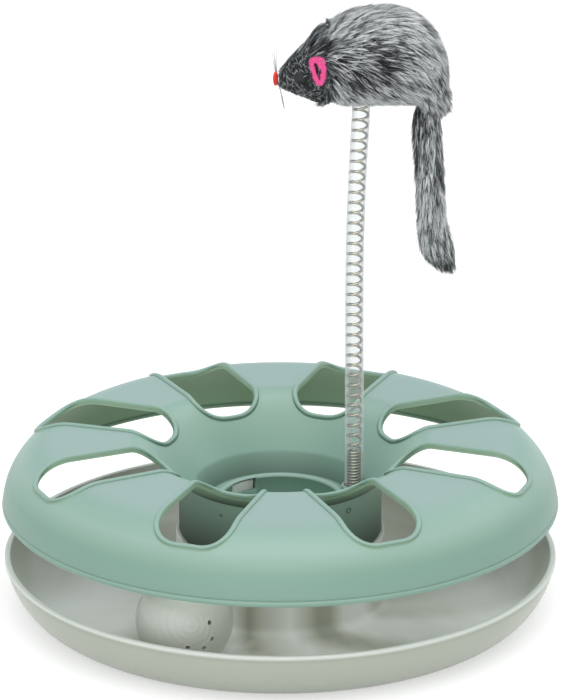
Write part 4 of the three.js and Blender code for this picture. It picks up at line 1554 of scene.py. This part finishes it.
# One ear: a strip of felt bent to a drop-shaped loop, standing out from the head
def earLoop(name):
    turns = np.linspace(-math.pi, math.pi, 48, endpoint=False)
    rings = []
    for outline in (ear["outline"], ear["hole"]):
        deselect()
        bpy.ops.mesh.primitive_circle_add(vertices=48, radius=1)
        ring = named("earRing")
        for vertex, (x, z) in zip(ring.data.vertices, radial(outline, ear["centre"], turns)):
            vertex.co = Vector((ear["middle"][0] + x, -ear["out"][1], ear["middle"][1] + z)) * mm
        rings.append(ring)
    piece = joinAll(rings)
    piece.name = name
    editAll()
    bpy.ops.mesh.bridge_edge_loops()
    bpy.ops.mesh.select_all(action="SELECT")
    deep = (ear["out"][1] - ear["out"][0]) * mm
    bpy.ops.mesh.extrude_region_move(TRANSFORM_OT_translate={"value": (0, deep, -ear["rise"] * mm)})
    endWithNormalsOut()
    bevel = piece.modifiers.new("softEdge", "BEVEL")
    bevel.width = 0.5 * mm
    bevel.segments = 3
    bevel.limit_method = "ANGLE"
    bevel.angle_limit = math.radians(50)
    fine = piece.modifiers.new("fine", "SUBSURF")
    fine.levels = 1
    fine.render_levels = 1
    lumps = bpy.data.textures.new("feltLumps", "CLOUDS")
    lumps.noise_scale = 1.3 * mm
    uneven = piece.modifiers.new("uneven", "DISPLACE")
    uneven.texture = lumps
    uneven.texture_coords = "LOCAL"
    uneven.strength = 0.25 * mm
    uneven.mid_level = 0.6
    applyAll(piece)
    smooth(piece, 80)
    return piece


earFuzz = {
    **bodyFur,
    "guides": 1500,
    "tuft": 3,
    "joints": 4,
    "length": (0.5, 1),
    "lift": (0.15, 0.5),
    "flick": 0.1,
    "curl": 0.6,
    "stray": 1,
    "stiff": 0.6,
    "spread": 0.15,
    "gather": 0.2,
    "loose": 0.15,
    "width": 0.09,
    "mottle": 0.15,
    "rootShade": 0.8,
    "tint": pinks,
    "flow": lambda p: np.zeros((len(p), 3)) + 1e-6,
    "shade": lambda p: 0.55 + chance.normal(0, 0.1, len(p)),
    "density": lambda p: np.ones(len(p)),
}


# A ball stretched to half sizes about a place, all in millimetres
def stretchedBall(name, place, size):
    bpy.ops.mesh.primitive_uv_sphere_add(segments=32, ring_count=20, radius=mm)
    piece = movedTo(named(name), place, size)
    smooth(piece, 80)
    return piece


def makeFeatures():
    right = earLoop("earRightLoop")
    left = copyOf(right, "earLeftLoop")
    left.data.transform(Matrix.Diagonal((1, -1, 1, 1)))
    left.data.flip_normals()
    for piece, node, fuzz in (
        (right, "ear_right", "earRightFuzz"),
        (left, "ear_left", "earLeftFuzz"),
    ):
        finishSoft(growFur(fuzz, piece, earFuzz), pile, "mouse")
        finishSoft(piece, pinkFelt, "mouse", node)
    for node, title, side in (("eye_right", "eyeRightBead", -1), ("eye_left", "eyeLeftBead", 1)):
        x, y, z = eye["place"]
        bead = stretchedBall(title, (x, side * y, z), eye["size"])
        finishSoft(bead, beadBlack, "mouse", node)
    tip = stretchedBall("nosePad", nose["place"], nose["size"])
    finishSoft(tip, redFelt, "mouse", "nose")
    strands = [stretchedBall("whiskerKnot", whisker["knot"], (0.6, 0.8, 0.7))]
    for tipPlace in whisker["tips"]:
        foot, end = Vector(whisker["knot"]), Vector(tipPlace)
        bow = Vector((-0.25 * (end.z - foot.z) / 8, end.y * 0.25, 0))
        points = [foot.lerp(end, i / 8) + bow * math.sin(math.pi * i / 8) for i in range(9)]
        low = 0.07 if end.z < foot.z else 0
        strands.append(pipe("whisker", points, whisker["thick"] + low, sides=2, taper=0.55))
    finishSoft(joinAll(strands), nylon, "mouse", "whiskers")
    curve = pipe("strayHair", [Vector(p) for p in strayHair["path"]], strayHair["thick"], sides=2)
    finishSoft(curve, nylon, "mouse")
    print("features made")


makeFeatures()

# Bell: a slotted hollow ball of thin metal with a loose clapper, inside the rolling ball

bell = {"centre": (-40.11, -76.07, 10.8), "radius": 6, "wall": 0.6, "slot": (1.6, 9.6)}


def makeBell():
    b = bell
    r = b["radius"]
    outer = arc((0, 0), r, 90, -90, 32)
    inner = arc((0, 0), r - b["wall"], -90, 90, 32)
    inside = r - b["wall"]
    line = [(0, r), *outer[1:-1], (0, -r), (0, -inside), *inner[1:-1], (0, inside), (0, r)]
    shell = spinProfile("bellShell", line, 64)
    cutOut(shell, box("bellSlot", (0, 0, r), (*b["slot"], r + b["wall"])))
    clapper = stretchedBall("bellClapper", (0, 0, -3.4), (1.7, 1.7, 1.7))
    for piece, node in ((shell, "bell_shell"), (clapper, "bell_clapper")):
        smooth(movedTo(piece, b["centre"]), 40)
        finish(piece, nickel, "bell", node)
    print("bell made")


makeBell()

# Stage: a pale floor, a white surround and soft lamps


# The rays that see the floor or the surround as the camera does
def bareRays(tree):
    path = addNode(tree, "ShaderNodeLightPath").outputs
    return path, mathNode(tree, "MAXIMUM", path["Is Camera Ray"], path["Is Transmission Ray"])


def makeStage():
    deselect()
    bpy.ops.mesh.primitive_plane_add(size=12)
    floor = named("floor")
    paper = {"Base Color": (0.9, 0.9, 0.9, 1), "Roughness": 0.9, "Specular IOR Level": 0.1}
    material, tree, shader = newMaterial("matt_studio_paper", paper)
    path, bare = bareRays(tree)
    clear = mathNode(tree, "MAXIMUM", bare, path["Is Glossy Ray"])
    place = addNode(tree, "ShaderNodeTexCoord").outputs["Object"]
    away = addNode(tree, "ShaderNodeVectorMath", {"operation": "LENGTH"}, {0: place})
    far = addNode(
        tree,
        "ShaderNodeMapRange",
        {"From Min": 0.4, "From Max": 1.1, "To Min": 0.55, "To Max": 1.0},
        {"Value": away.outputs["Value"]},
    )
    glow = addNode(tree, "ShaderNodeEmission", links={"Strength": far.outputs["Result"]})
    page = addNode(tree, "ShaderNodeBsdfDiffuse", {"Color": (0.6, 0.6, 0.6, 1)})
    lit = addNode(tree, "ShaderNodeAddShader", links={0: page.outputs[0], 1: glow.outputs[0]})
    both = mixOf(tree, clear, shader.outputs[0], lit.outputs[0])
    tree.links.new(both, tree.nodes["Material Output"].inputs["Surface"])
    floor.data.materials.append(material)

    world = bpy.data.worlds.new("studio")
    bpy.context.scene.world = world
    world.use_nodes = True
    tree = world.node_tree
    tree.nodes.clear()
    path, seen = bareRays(tree)
    soft = addNode(tree, "ShaderNodeBackground", {"Color": (0.97, 0.985, 1, 1), "Strength": 0.62})
    sky = addNode(tree, "ShaderNodeBackground", {"Color": (0.8, 0.91, 1, 1), "Strength": 1.0})
    white = addNode(tree, "ShaderNodeBackground", {"Color": (1, 1, 1, 1), "Strength": 1.0})
    mirrored = mixOf(tree, path["Is Glossy Ray"], soft.outputs[0], sky.outputs[0])
    both = mixOf(tree, seen, mirrored, white.outputs[0])
    addNode(tree, "ShaderNodeOutputWorld", links={"Surface": both})

    for name, place, size, power in (
        ("overhead", (0, -0.3, 1.6), 1.4, 12),
        ("front", (-0.4, -2.1, 0.8), 2.4, 13),
        ("backRight", (1.2, 1.0, 1.4), 0.9, 4),
    ):
        bpy.ops.object.light_add(type="AREA", location=place)
        lamp = bpy.context.object
        lamp.name = name
        lamp.data.size = size
        lamp.data.energy = power
        aim = Vector((0, 0, 0.1)) - Vector(place)
        lamp.rotation_euler = aim.to_track_quat("-Z", "Y").to_euler()


makeStage()

bpy.context.scene.view_settings.view_transform = "Standard"
